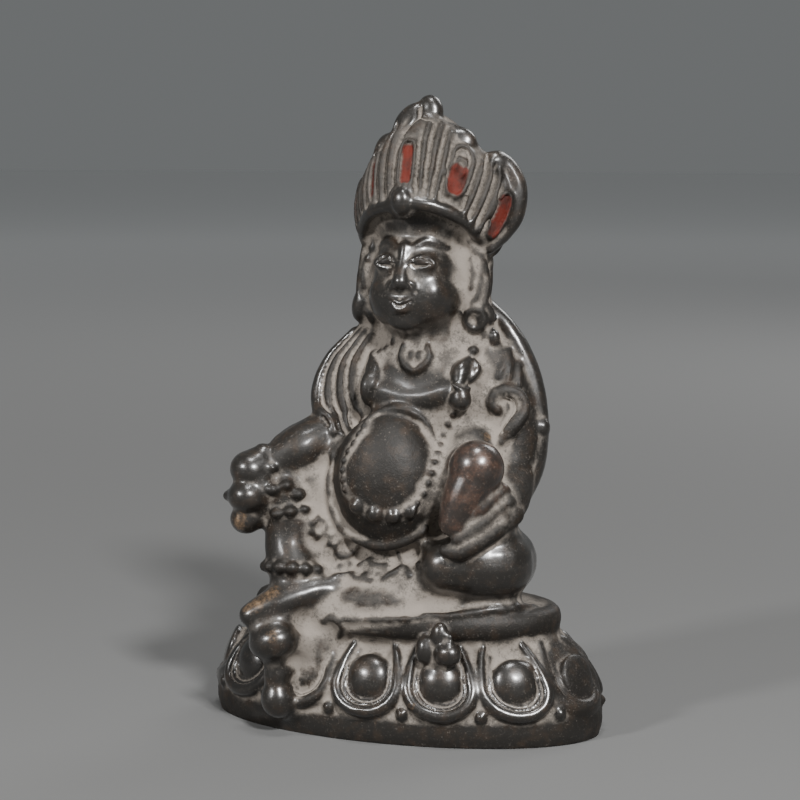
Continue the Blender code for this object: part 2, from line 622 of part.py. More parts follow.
def crown_wall(clay):
    """The wall of leaves, leaning back, with a notch between each two."""
    loops = []
    for step in range(73):
        side = step / 12
        notch = NOTCHES[min(int(side), 5)]
        top = 1 - notch * (1 - abs(math.cos(math.pi * side))) ** 1.5
        rises = [top * row / 11 for row in range(12)]
        ring = [crown_point(side, rise, 0.0) for rise in rises]
        ring += [crown_point(side, rise, -CROWN_THICKNESS) for rise in reversed(rises)]
        loops.append([at(*point) for point in ring])
    clay.rings(loops)


def crown_core(clay):
    figure_ball(clay, (3.3, 0.2, 61.0), (8.6, 6.6, 7.0))
    figure_ball(clay, (4.0, 2.4, 65.0), (11.0, 4.6, 9.0))
    figure_ball(clay, (3.6, 2.0, 70.5), (6.4, 3.2, 6.6))


# The inlay of each leaf: its column, where it starts and ends up the leaf, half its width in
# columns, and how straight its sides are
INLAYS = (
    (1.18, 0.04, 0.66, 0.12, 0.6),
    (2.07, 0.06, 0.64, 0.13, 0.6),
    (3.02, 0.08, 0.56, 0.17, 0.5),
    (4.0, 0.12, 0.70, 0.23, 0.8),
    (5.06, 0.06, 0.58, 0.2, 0.9),
)
# Ribs between the leaves: the column and the height that each starts and ends at
RIBS = (
    (1.5, 0.08, 1.6, 0.72),
    (1.72, 0.06, 1.82, 0.8),
    (2.38, 0.06, 2.4, 0.84),
    (2.62, 0.06, 2.66, 0.86),
    (3.36, 0.04, 3.3, 0.78),
    (3.52, 0.04, 3.5, 0.86),
    (3.68, 0.06, 3.68, 0.8),
    (4.36, 0.06, 4.36, 0.7),
    (4.56, 0.04, 4.56, 0.84),
    (4.76, 0.04, 4.76, 0.86),
)


def up_the_wall(low_column, low, high_column, high, out):
    """Four points up the crown's wall."""
    lean, rise = high_column - low_column, high - low
    return [crown_point(low_column + lean * t, low + rise * t, out) for t in (0, 0.33, 0.67, 1)]


def inlay_rim(column, low, high, half, square):
    """Points round an inlay, up one side, over its top and down the other."""
    points = []
    for step in range(13):
        round_it = math.radians(-75 + step * 27.5)
        across = math.copysign(abs(math.cos(round_it)) ** square, math.cos(round_it))
        rise = (low + high) / 2 + (high - low) / 2 * math.sin(round_it)
        points.append(crown_point(column + half * across, rise, 0.4))
    return points


# The lobes that the leaves end in: the middle, the radii and the turn of each
LOBES = (
    ((1.3, -1.4, 75.6), (2.3, 1.6, 3.6), (-18, 34, 0)),
    ((0.3, -2.4, 74.2), (1.2, 1.0, 1.9), (-18, 20, 0)),
    ((4.2, 0.0, 77.5), (2.1, 1.7, 2.5), (-10, -20, 0)),
    ((9.5, -0.6, 73.0), (2.8, 1.5, 1.9), (-18, 24, 0)),
    ((11.2, -1.4, 70.6), (1.1, 1.0, 1.7), (-18, -20, 0)),
    ((-3.5, -0.8, 71.8), (1.3, 1.2, 2.4), (-18, 24, 0)),
    ((-7.9, 1.4, 65.6), (1.0, 1.0, 1.9), (-18, 16, 0)),
    ((14.6, 1.0, 69.6), (1.9, 1.3, 1.6), (-14, 20, 0)),
)


def crown(clay, skin):
    """The leaves' inlays in their rims, the ribs between them, their lobes, and the band."""
    for column, low, high, half, square in INLAYS:
        figure_limb(clay, inlay_rim(column, low, high, half, square), [0.45] * 13)
    for rib in RIBS:
        figure_limb(clay, up_the_wall(*rib, 0.35), [0.45, 0.6, 0.55, 0.3])
    for middle, radii, turn in LOBES:
        figure_ball(clay, middle, radii, turn)
    edge = [(4.8, 0.99), (5.2, 0.96), (5.7, 0.75), (5.8, 0.45), (5.64, 0.2), (5.4, 0.0)]
    edge = [crown_point(column, rise, 0.0) for column, rise in edge]
    figure_limb(clay, edge, [1.2, 1.5, 1.5, 1.4, 1.1, 0.8])
    figure_limb(clay, BAND, [0.8, 0.9, 0.95, 1.0, 1.1, 1.0, 0.8])
    figure_ball(clay, (3.1, -9.5, 63.4), (1.7, 1.3, 2.1))
    hook = []
    for step in range(9):
        round_it = math.radians(200 - step * 35)
        hook.append((10.8 + 1.3 * math.cos(round_it), -4.0, 68.6 + 1.3 * math.sin(round_it)))
    draped(clay, skin, hook, [0.5] * 9, 0.3)
    setting = []
    for step in range(13):
        round_it = math.radians(step * 30)
        setting.append((3.1 + 2.3 * math.cos(round_it), -8.9, 63.4 + 2.6 * math.sin(round_it)))
    figure_limb(clay, setting, [0.4] * 13)


def scarf(clay, skin):
    """The celestial scarf: folds over the arm on -X, a band and a curl over the arm on +X."""
    outer = [(-8.4, 0.6, 42.0), (-12.4, -0.8, 37.4), (-13.8, -2.2, 33.0)]
    outer += [(-12.8, -4.4, 29.4), (-9.8, -6.8, 26.2)]
    draped(clay, skin, outer, [0.8, 1.3, 1.5, 1.2, 0.5], 0.3)
    folds = (
        ((-7.4, -0.6, 42.4), (-11, -2.2, 37.8), (-11.8, -3.6, 33.4), (-10.6, -5.2, 29.4), (-8.4, -6.8, 26)),
        ((-6.4, -1.0, 42.4), (-9.2, -2.6, 37.8), (-9.6, -3.8, 33.2), (-8.4, -4.6, 29.2), (-6.8, -6.4, 27.2)),
        ((-5.4, -1.6, 42.0), (-7.4, -2.6, 38.2), (-7.8, -3.4, 34.2), (-7.0, -4.2, 30.8), (-5.6, -6.0, 28.4)),
    )
    for fold in folds:
        draped(clay, skin, fold, [0.5, 0.8, 0.85, 0.75, 0.4], 0.25)
    outer = [(11.5, 4.0, 47.5), (15.4, 3.8, 43.8), (18.0, 4.0, 39.6), (20.1, 3.8, 34.6)]
    outer += [(21.4, 3.0, 28.6), (21.3, 1.4, 22.0), (19.9, -1.0, 16.5)]
    figure_limb(clay, outer, [1.2, 1.5, 1.8, 1.8, 1.7, 1.7, 1.3])
    figure_ball(clay, (22.2, 2.2, 28.0), (1.4, 1.4, 1.6))
    curl = [(16.6, -2.5, 31.0), (15.7, -2.6, 31.8), (15.9, -2.4, 33.2), (17.3, -1.9, 33.9)]
    curl += [(19.0, -1.0, 33.2), (19.7, -0.9, 31.4), (19.4, -1.6, 29.6)]
    curl += [(18.3, -2.8, 27.6), (17.2, -3.6, 26.0)]
    widths = [0.8, 0.9, 1.0, 1.1, 1.3, 1.4, 1.3, 1.1, 0.7]
    ribbon(clay, skin, curl, widths, [0.8, *[0.9] * 6, 0.8, 0.5], 0.35)
    pleats = (
        ((16.4, 2.0, 41.0), (16.9, 0.0, 38.4), (16.9, -1.2, 36.2)),
        ((17.4, 2.2, 40.6), (17.8, 0.4, 38.0), (17.9, -0.8, 35.8)),
        ((18.3, 3.0, 39.8), (18.7, 1.0, 37.2), (19.0, -0.2, 35.2)),
        ((19.2, 3.2, 38.2), (19.8, 1.4, 35.6), (20.2, 0.2, 33.4)),
    )
    for pleat in pleats:
        draped(clay, skin, pleat, [0.25, 0.42, 0.3], 0.2)


def back_of_scarf(clay, skin):
    """Plain swags of the scarf and the robe across the back."""
    for drop in range(4):
        swag = []
        for step in range(5):
            across = step / 2 - 1
            low = 36.0 - drop * 7.5 - 3.6 * (1 - across * across)
            swag.append((3.0 + across * (12.5 + drop), 9.0 - 3.4 * across * across, low))
        draped(clay, skin, swag, [0.6, 1.0, 1.1, 1.0, 0.6], 0.2)


def ornaments(clay, skin):
    """The pendant at the throat, and the buds on either side that the belly's strands hang from."""
    left = [(1.9, -5.2, 40.7), (1.6, -5.2, 39.2), (2.2, -5.7, 37.9), (3.8, -6.3, 36.9)]
    right = [(5.6, -5.0, 40.7), (6.0, -5.1, 39.2), (5.5, -5.8, 37.8), (4.0, -6.3, 36.9)]
    draped(clay, skin, left, [0.5, 0.7, 0.7, 0.5], 0.3)
    draped(clay, skin, right, [0.5, 0.7, 0.7, 0.5], 0.3)
    knob(clay, skin, (3.2, -5.6, 38.9), (0.6, 0.6, 1.3), 0.3)
    knob(clay, skin, (4.5, -5.5, 38.9), (0.6, 0.6, 1.3), 0.3)
    bud = [(-4.6, -3.6, 38.2), (-3.9, -5.0, 36.4), (-3.2, -6.0, 34.4), (-3.6, -6.6, 32.0)]
    draped(clay, skin, bud, [0.5, 1.1, 1.3, 0.8], 0.3)
    stem = [(-4.8, -3.2, 38.9), (-3.2, -4.8, 37.5), (-2.5, -5.8, 35.6), (-2.5, -6.6, 34.0)]
    draped(clay, skin, stem, [0.4, 0.45, 0.5, 0.3], 0.5)
    knob(clay, skin, (-4.6, -2.9, 39.2), (0.6, 0.6, 0.6))
    knob(clay, skin, (12.1, -1.8, 40.0), (0.8, 0.8, 0.8), 0.4)
    draped(clay, skin, [(11.6, -3.2, 38.4), (11.0, -4.4, 36.9), (10.9, -5.4, 35.4)], [0.8, 1.5, 1.2], 0.3)
    draped(clay, skin, [(12.6, -2.6, 38.4), (13.0, -3.0, 37.0), (12.4, -4.4, 35.6)], [0.4, 0.8, 0.5], 0.7)
    knob(clay, skin, (11.6, -6.2, 32.9), (1.8, 1.6, 1.95), 0.4)
    draped(clay, skin, [(10.0, -5.8, 34.5), (11.2, -6.0, 34.2), (12.6, -5.2, 34.5)], [0.3, 0.35, 0.3], 1.2)
    for place in ((-3.6, -4.0, 40.2), (-2.4, -4.2, 40.8), (-1.0, -4.4, 41.2)):
        knob(clay, skin, place, (0.55, 0.5, 0.45), 0.1)


MASSES = (
    *(lotus_wall, moon_disc, foot_bud, trunk, lap, right_arm, left_arm, right_leg, left_leg),
    *(head, cheeks, hair, crown_core, crown_wall),
)
DETAILS = (
    *(lotus_petals, jewels, belly, crumples, rosettes, fruit, left_fingers, mongoose, anklet),
    *(face, ears, crown, locks, scarf, back_of_scarf, ornaments),
)


def bronze():
    material = bpy.data.materials.new("bronze")
    material.use_nodes = True
    shader = material.node_tree.nodes["Principled BSDF"]
    shader.inputs["Base Color"].default_value = (0.055, 0.045, 0.036, 1)
    shader.inputs["Metallic"].default_value = 0.85
    shader.inputs["Roughness"].default_value = 0.38
    return material


def place(name, data):
    obj = bpy.data.objects.new(name, data)
    bpy.context.scene.collection.objects.link(obj)
    return obj


def below_ground():
    """A block under the base, which trims the underside flat."""
    clay = Clay()
    corners = [(-1, -1), (1, -1), (1, 1), (-1, 1)]
    loops = []
    for z in (-CUT_DEPTH * 2, 0):
        loops.append([Vector((x * BASE_WIDTH, y * BASE_DEPTH, z)) for x, y in corners])
    clay.rings(loops)
    block = place("below_ground", clay.mesh("below_ground"))
    block.hide_render = True
    block.display_type = "WIRE"
    return block


def melted(clay, fill):
    """One smooth skin round everything in the clay, with its corners filled to a depth."""
    rough = place("rough", clay.mesh("rough"))
    for step, move in (("swell", fill), ("shrink", -fill), ("last", 0)):
        remesh = rough.modifiers.new("skin_before_" + step, "REMESH")
        remesh.mode = "VOXEL"
        remesh.voxel_size = VOXEL
        if move:
            displace = rough.modifiers.new(step, "DISPLACE")
            displace.mid_level = 0
            displace.strength = move
    soften = rough.modifiers.new("soften", "SMOOTH")
    soften.iterations = SOFTEN_ROUNDS
    soften.factor = 0.5
    graph = bpy.context.evaluated_depsgraph_get()
    data = bpy.data.meshes.new_from_object(rough.evaluated_get(graph))
    bpy.data.objects.remove(rough)
    return data


def statue():
    masses = Clay()
    for form in MASSES:
        form(masses)
    base = melted(masses, MASS_FILL)
    clay = Clay()
    clay.take(base)
    skin = Skin(base)
    for form in DETAILS:
        form(clay, skin)
    data = melted(clay, DETAIL_FILL)
    obj = place("jambhala_statue", data)
    fewer = obj.modifiers.new("fewer", "DECIMATE")
    fewer.ratio = TRIANGLES / (2 * len(data.polygons))
    flat = obj.modifiers.new("flat_underside", "BOOLEAN")
    flat.operation = "DIFFERENCE"
    flat.solver = "EXACT"
    flat.object = below_ground()
    obj.data.materials.append(bronze())
    return obj


clear_scene()
statue()
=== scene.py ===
"""The looks of a small cast bronze Jambhala: one fine mesh of the whole casting, with its
carving, worn patina, dust in the hollows and red paint in the crown, on a pale studio floor.
"""

import math

import bmesh
import bpy
import numpy as np
from mathutils import Euler, Matrix, Vector, noise
from mathutils.bvhtree import BVHTree


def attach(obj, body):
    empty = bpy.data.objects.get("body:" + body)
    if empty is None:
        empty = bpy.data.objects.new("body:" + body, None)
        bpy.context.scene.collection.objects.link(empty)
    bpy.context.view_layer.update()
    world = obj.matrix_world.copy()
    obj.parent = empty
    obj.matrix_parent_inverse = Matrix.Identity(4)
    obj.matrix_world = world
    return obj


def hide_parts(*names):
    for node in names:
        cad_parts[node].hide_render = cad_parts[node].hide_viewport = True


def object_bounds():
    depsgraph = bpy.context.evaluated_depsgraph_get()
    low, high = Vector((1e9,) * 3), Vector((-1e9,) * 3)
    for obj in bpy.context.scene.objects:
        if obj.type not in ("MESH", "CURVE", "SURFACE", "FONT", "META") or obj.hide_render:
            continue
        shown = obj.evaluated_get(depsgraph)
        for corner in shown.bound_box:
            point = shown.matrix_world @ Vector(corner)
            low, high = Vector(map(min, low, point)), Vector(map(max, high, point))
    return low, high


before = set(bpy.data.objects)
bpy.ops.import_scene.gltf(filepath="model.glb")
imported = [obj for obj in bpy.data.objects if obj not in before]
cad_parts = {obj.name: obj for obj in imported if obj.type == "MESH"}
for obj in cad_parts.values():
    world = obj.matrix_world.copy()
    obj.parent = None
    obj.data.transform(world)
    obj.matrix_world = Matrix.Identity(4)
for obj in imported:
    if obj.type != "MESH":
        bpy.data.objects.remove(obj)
cad_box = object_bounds()

# Sizes in metres, from the frame
HEIGHT = cad_box[1][2]
BASE_WIDTH = cad_box[1][0] - cad_box[0][0]
BASE_DEPTH = 0.0280
LOTUS_HEIGHT = 0.0126
DISC_WIDTH = 0.0416
DISC_DEPTH = 0.0236
DISC_THICKNESS = 0.0034

# The lotus petals round the base
PETALS = 13
PETAL_WIDTH = 0.0099
PETAL_HEIGHT = 0.0082
PETAL_MIDDLE = 0.0075
PETAL_RIM = 0.00072
BOSS_WIDTH = 0.0059
BOSS_HEIGHT = 0.0059
BOSS_DEPTH = 0.0018

# The two lips of a petal, as shares of its size: how large, how thick, and how far it stands out
LIPS = ((1.0, 1.25, 0.55), (0.75, 0.42, 0.5))
GROOVED_LIPS = (0.86, 0.66)

# Half the width of a bead of the anklet
ANKLE_BEAD = 0.00085

# The skin: its grain, how deep corners are filled, and its count of triangles
VOXEL = 0.00021
MASS_VOXEL = VOXEL * 1.25
MASS_FILL = 0.0011
DETAIL_FILL = 0.00018
TRIANGLES = 192000
CUT_DEPTH = 0.002

# The cast surface's lumps: the size, share and random start of each kind, and their height
LUMPS = ((0.0018, 0.6, 1), (0.0008, 0.4, 2))
LUMP_HEIGHT = 0.00005

# How deep a hollow counts in full, where it is narrow and where it is wide
FINE_HOLLOW = 0.00005
WIDE_HOLLOW = 0.0003

# How much less dust the crown and the petals hold, and where the crown starts, in units. On the crown the
# thinner dust is also painted shade: it darkens the leaves that lean back under the top lamp, and the slits
# between their ribs
CROWN_CLEANER_AND_SHADE = 0.28
PETALS_CLEANER = 0.32
CROWN_FOOT = 60

# How far a coat reaches past its body
COAT_REACH = 1.06

# The figure is laid out in eightieths of its own height, measured from the top of the seat
SEAT_TOP = LOTUS_HEIGHT + DISC_THICKNESS
UNIT = (HEIGHT - SEAT_TOP) / 80

# Faces of the base, balls and tubes, and the side that round tubes count theirs from
BASE_SIDES = 96
BALL_ROWS = 14
BALL_SIDES = 24
SIDES = 16
STEPS = 6
END_RINGS = 4
SLANT = (0.13, -0.35, 0.93)


def at(x, y, z):
    """A point of the figure, in its units: to its left, back, and up from the seat."""
    return Vector((x * UNIT, y * UNIT, SEAT_TOP + z * UNIT))


def in_metres(lengths):
    return [length * UNIT for length in lengths]


def between(a, b, c, d, share):
    """A value part of the way from b to c, on the smooth curve through all four."""
    square = a * 2 - b * 5 + c * 4 - d
    cube = b * 3 - a - c * 3 + d
    return (b * 2 + (c - a) * share + square * share * share + cube * share**3) * 0.5


def with_ends(values):
    """The values, with one more at both ends in a straight line."""
    return [values[0] * 2 - values[1], *values, values[-1] * 2 - values[-2]]


def spline(values, steps=STEPS):
    """Points or numbers on a smooth curve through the given ones."""
    ends = with_ends(values)
    found = []
    for i in range(len(values) - 1):
        found += [between(*ends[i : i + 4], step / steps) for step in range(steps)]
    return [*found, values[-1]]


def along(values, place):
    """The value at a place, counted in steps, on the smooth curve through the given ones."""
    i = max(min(int(place), len(values) - 2), 0)
    return between(*with_ends(values)[i : i + 4], place - i)


def evenly(points, count):
    """That many points at equal distances along a smooth curve through the given ones."""
    fine = spline([Vector(point) for point in points], 20)
    lengths = [0.0]
    for before, after in zip(fine, fine[1:]):
        lengths.append(lengths[-1] + (after - before).length)
    found = []
    for i in range(count):
        want = lengths[-1] * i / (count - 1)
        found.append(fine[next(k for k, length in enumerate(lengths) if length >= want * 0.9999)])
    return found


def circle(centre, wide, high, count=13, start=0, turn=30):
    """Points of a ring that faces the front, every so many degrees from a start."""
    x, y, z = centre
    angles = [math.radians(start + step * turn) for step in range(count)]
    return [(x + wide * math.cos(angle), y, z + high * math.sin(angle)) for angle in angles]


class Skin:
    """The melted masses, for ornaments to be laid on."""

    def __init__(self, data):
        corners = [tuple(face.vertices) for face in data.polygons]
        self.tree = BVHTree.FromPolygons([point.co.copy() for point in data.vertices], corners)

    def front(self, x, z, lift):
        """The point of the front at a place across and up the figure, lifted off it."""
        found = self.tree.ray_cast(at(x, -60, z), Vector((0, 1, 0)))[0]
        if found is None:
            return self.near(at(x, 0, z), lift)
        return found + Vector((0, -lift * UNIT, 0))

    def near(self, point, lift):
        """The nearest point of the surface, lifted off it."""
        found, normal, _, _ = self.tree.find_nearest(point)
        return found + normal * lift * UNIT


class Clay:
    """Closed bodies as points and faces, what coats them, and the grooves to press in them."""

    def __init__(self, skin=None):
        self.skin = skin
        self.points = []
        self.faces = []
        self.coats = {name: [] for name in ("polish", "dark", "copper", "gold", "red", "dust")}
        self.coat = None
        self.strokes = []

    def rings(self, loops):
        """A closed body through rings of as many points each, with a flat face at both ends."""
        count = len(loops[0])
        first = len(self.points)
        for loop in loops:
            self.points += loop
        for ring in range(len(loops) - 1):
            low = first + ring * count
            for side in range(count):
                after = (side + 1) % count
                self.faces.append((low + side, low + after, low + count + after, low + count + side))
        top = first + (len(loops) - 1) * count
        self.faces.append(tuple(range(first + count - 1, first - 1, -1)))
        self.faces.append(tuple(range(top, top + count)))

    def take(self, data):
        """Adds a mesh that is already melted."""
        first = len(self.points)
        self.points += [point.co.copy() for point in data.vertices]
        self.faces += [tuple(first + corner for corner in face.vertices) for face in data.polygons]

    def mark(self, matrix):
        """Notes the ellipsoid that a coat covers."""
        if self.coat:
            self.coats[self.coat].append(matrix)

    def mesh(self, name):
        data = bpy.data.meshes.new(name)
        data.from_pydata(self.points, [], self.faces)
        return data

    def ellipsoid(self, centre, radii, turn=(0, 0, 0)):
        """An ellipsoid in metres, turned by three angles in degrees."""
        turned = Euler([math.radians(angle) for angle in turn])
        matrix = Matrix.LocRotScale(centre, turned, Vector(radii))
        self.mark(matrix)
        angles = [2 * math.pi * side / BALL_SIDES for side in range(BALL_SIDES)]
        loops = []
        for row in range(1, BALL_ROWS):
            tilt = math.pi * (row / BALL_ROWS - 0.5)
            out, up = math.cos(tilt), math.sin(tilt)
            loops.append([matrix @ Vector((out * math.cos(a), out * math.sin(a), up)) for a in angles])
        self.rings(loops)

    def tube(self, points, widths, depths, facing, steps=STEPS):
        """A closed tube in metres along a smooth curve, widths across it and depths towards facing."""
        points, widths, depths = spline(points, steps), spline(widths, steps), spline(depths, steps)
        last = len(points) - 1
        loops = []
        for i, point in enumerate(points):
            ahead = (points[min(i + 1, last)] - points[max(i - 1, 0)]).normalized()
            across = ahead.cross(Vector(facing)).normalized()
            out = across.cross(ahead).normalized()
            size = min(widths[i], depths[i])
            marked = Matrix((across * widths[i], out * depths[i], ahead * size)).transposed().to_4x4()
            marked.translation = point
            self.mark(marked)
            caps = range(END_RINGS, -1, -1) if i == 0 else range(END_RINGS + 1) if i == last else [0]
            for cap in caps:
                angle = cap / (END_RINGS + 0.4) * math.pi / 2
                reach = size * math.sin(angle) * (-1 if i == 0 else 1)
                shrink = math.cos(angle)
                loop = []
                for side in range(SIDES):
                    turn = 2 * math.pi * side / SIDES
                    spread = across * widths[i] * math.cos(turn) + out * depths[i] * math.sin(turn)
                    loop.append(point + ahead * reach + spread * shrink)
                loops.append(loop)
        self.rings(loops)

    def ball(self, centre, radii, turn=(0, 0, 0)):
        """An ellipsoid of the figure, in its units."""
        self.ellipsoid(at(*centre), in_metres(radii), turn)

    def strap(self, points, widths, depths, facing):
        """A tube of the figure, in its units."""
        self.tube([at(*point) for point in points], in_metres(widths), in_metres(depths), facing)

    def limb(self, points, radii):
        """A round tube of the figure, with its own radius at each point."""
        self.strap(points, radii, radii, SLANT)

    def on_skin(self, points, lift):
        """A smooth curve through points, moved to the nearest part of the skin."""
        return [self.skin.near(point, lift) for point in spline([at(*point) for point in points])]

    def drape(self, points, radii, lift=0.3):
        """A round fold over the skin."""
        sizes = in_metres(spline(list(radii)))
        self.tube(self.on_skin(points, lift), sizes, sizes, SLANT, 1)

    def ribbon(self, points, widths, depths, lift=0.2):
        """A flat band over the skin."""
        widths, depths = in_metres(spline(list(widths))), in_metres(spline(list(depths)))
        self.tube(self.on_skin(points, lift), widths, depths, (0.1, -1, 0.1), 1)

    def strand(self, places, radii, lift):
        """A round strand over the front of the figure, through places across and up it."""
        flat = evenly([(x, z, 0) for x, z in places], (len(places) - 1) * STEPS + 1)
        sizes = in_metres(spline(list(radii)))
        self.tube([self.skin.front(x, z, lift) for x, z, _ in flat], sizes, sizes, SLANT, 1)

    def beads(self, points, count, radius):
        """Beads at equal distances over the skin."""
        for point in evenly([at(*point) for point in points], count):
            self.ellipsoid(self.skin.near(point, 0.3), [radius * UNIT] * 3)

    def knob(self, point, radii, lift=0.2):
        self.ellipsoid(self.skin.near(at(*point), lift), in_metres(radii))

    def coat_strip(self, coat, points, radii, steps=STEPS):
        """Marks a strip of the surface for a coat, without any form."""
        points = spline([at(*point) for point in points], steps)
        for point, radius in zip(points, spline(list(radii), steps)):
            self.coats[coat].append(Matrix.LocRotScale(point, None, Vector([radius * UNIT] * 3)))

    def groove(self, points, width, depth):
        """A groove to be pressed into the finished skin."""
        self.strokes.append(([at(*point) for point in points], width * UNIT, depth * UNIT))


def base_inset(height):
    """How far the lotus wall stands in from the base's outline at a height."""
    share = height / LOTUS_HEIGHT
    return LOTUS_HEIGHT * (0.66 * max(share - 0.2, 0) ** 1.6 + 0.9 * max(0.12 - share, 0) ** 1.5)


def base_normal(angle):
    return Vector((math.sin(angle) / BASE_WIDTH, -math.cos(angle) / BASE_DEPTH, 0)).normalized()


def on_base(angle, height, out=0.0):
    """A point on the lotus wall. Angle 0 is the front centre, and it grows towards +X."""
    inset = base_inset(height)
    half_width, half_depth = BASE_WIDTH / 2 - inset, BASE_DEPTH / 2 - inset
    point = Vector((half_width * math.sin(angle), -half_depth * math.cos(angle), height))
    return point + base_normal(angle) * out


def petal_angles():
    """The angle of each petal and of each gap after it, spaced evenly round the outline."""
    fine = 1440
    half_width, half_depth = BASE_WIDTH / 2, BASE_DEPTH / 2
    lengths = [0.0]
    for i in range(fine):
        angle = 2 * math.pi * (i + 0.5) / fine
        step = math.hypot(half_width * math.cos(angle), half_depth * math.sin(angle))
        lengths.append(lengths[-1] + step * 2 * math.pi / fine)
    found = []
    for half in range(PETALS * 2):
        want = lengths[-1] * half / (PETALS * 2)
        found.append(2 * math.pi * next(k for k, length in enumerate(lengths) if length >= want) / fine)
    return found


def stack(clay, levels, point_of):
    """A closed body with a ring for each level, where point_of gives the points of a ring."""
    angles = [2 * math.pi * side / BASE_SIDES for side in range(BASE_SIDES)]
    clay.rings([[point_of(angle, level) for angle in angles] for level in levels])


def lotus_wall(clay):
    levels = [-CUT_DEPTH, *[LOTUS_HEIGHT * row / 14 for row in range(15)]]

    def point(angle, height):
        return on_base(angle, max(height, 0)) + Vector((0, 0, min(height, 0)))

    stack(clay, levels, point)


def moon_disc(clay):
    """The rounded slab that the figure sits on."""
    edge = DISC_THICKNESS / 2

    def point(angle, tilt):
        out = edge * (max(math.cos(tilt), 0) ** 0.6 - 1)
        x = (DISC_WIDTH / 2 + out) * math.sin(angle)
        y = -(DISC_DEPTH / 2 + out) * math.cos(angle)
        return Vector((x, y, LOTUS_HEIGHT + edge + edge * math.sin(tilt)))

    stack(clay, [math.pi * (step / 10 - 0.5) for step in range(11)], point)


def relief(angle):
    """The carving is worn away towards the two ends of the base."""
    return 1 - 0.7 * abs(math.sin(angle)) ** 5


def petal(clay, angle, turn_per_length):
    """A round lotus petal: two U-shaped lips, one in the other, and a boss."""
    half_width, half_height = PETAL_WIDTH / 2 - PETAL_RIM, PETAL_HEIGHT / 2 - PETAL_RIM
    normal = base_normal(angle)
    turned = (-20, 0, math.degrees(math.atan2(normal.x, -normal.y)))
    depth = PETAL_RIM * relief(angle)
    lip = [(-0.74, 1.3), (-0.92, 0.75)]
    lip += [(math.cos(math.radians(a)), math.sin(math.radians(a))) for a in range(-190, 11, 20)]
    lip += [(0.92, 0.75), (0.74, 1.3)]

    def on_petal(shape, share, out):
        """Points of a shape on the wall, at a share of the petal's size."""
        points = []
        for across, up in shape:
            turn = angle + half_width * share * across * turn_per_length
            points.append(on_base(turn, PETAL_MIDDLE + half_height * share * up, out))
        return points

    clay.coat = "polish"
    for share, thick, proud in LIPS:
        widths = [PETAL_RIM * thick * (0.7 if up > 0.5 else 1) for _, up in lip]
        depths = [depth * 1.3 * thick] * len(lip)
        clay.tube(on_petal(lip, share, depth * proud), widths, depths, normal, 3)
    for share in GROOVED_LIPS:
        clay.strokes.append((on_petal(lip[1:-1], share, depth), PETAL_RIM * 0.2, depth * 0.35))
    middle = on_base(angle, PETAL_MIDDLE + PETAL_RIM * 0.6, BOSS_DEPTH * 0.1)
    clay.ellipsoid(middle, (BOSS_WIDTH / 2, BOSS_DEPTH * relief(angle), BOSS_HEIGHT / 2), turned)
    clay.coat = None


def petal_gap(clay, angle):
    """The tip of a petal of the back row, between two front ones: ribs over a drop."""
    depth = PETAL_RIM * relief(angle)
    for side in (-1, 0, 1):
        tip = []
        for share, spread in ((0.62, 0.9), (0.3, 0.7), (0.0, 0.62), (-0.3, 0.75 if side else 0)):
            turn = angle + side * spread * PETAL_RIM * 2.4 / BASE_WIDTH
            tip.append(on_base(turn, PETAL_MIDDLE + PETAL_HEIGHT * share, depth * 0.15))
        clay.tube(tip, [PETAL_RIM * 0.42] * 4, [depth * 0.8] * 4, base_normal(angle))
    clay.coat = "polish"
    low = on_base(angle, PETAL_MIDDLE - PETAL_HEIGHT * 0.42, depth * 0.1)
    clay.ellipsoid(low, (PETAL_RIM * 1.1, depth * 1.3, PETAL_RIM * 1.1))
    clay.coat = None


def lotus_petals(clay):
    angles = petal_angles()
    for index, angle in enumerate(angles):
        if index % 2:
            petal_gap(clay, angle)
            continue
        apart = (angles[(index + 1) % len(angles)] - angles[index - 1]) % (2 * math.pi)
        along_it = (on_base(angle + apart / 2, 0) - on_base(angle - apart / 2, 0)).length
        petal(clay, angle, apart / along_it)


def foot_bud(clay):
    """The bud on its knobbed stalk in front of the base, under the hanging foot."""
    front = -BASE_DEPTH / 2
    clay.coat = "polish"
    for x, y, height, radii in (
        (-14.6, 0.0, 0.28, (2.9, 3.0, 3.1)),
        (-14.8, 0.6, 0.48, (2.5, 3.0, 1.7)),
        (-14.9, -1.0, 0.75, (4.2, 3.6, 3.1)),
    ):
        centre = Vector((x * UNIT, front + y * UNIT, SEAT_TOP * height))
        clay.ellipsoid(centre, [radius * UNIT for radius in radii], (0, -14, 0))
    clay.coat = None


def jewels(clay):
    """The flaming jewels between the seat and the front petals."""
    clay.coat = "polish"
    for x, y, z, radii in (
        (13.2, -15.4, -5.4, (2.2, 1.7, 1.9)),
        (9.2, -14.8, -5.2, (1.6, 1.6, 2.3)),
        (11.6, -14.8, -2.8, (1.5, 1.3, 2.3)),
    ):
        clay.ball((x, y, z), radii)
    clay.coat = None
    for reach in (2.5, 3.2):
        clay.limb(circle((13.2, -15.2, -5.4), reach, reach * 0.9, 6, 80), [0.35] * 6)


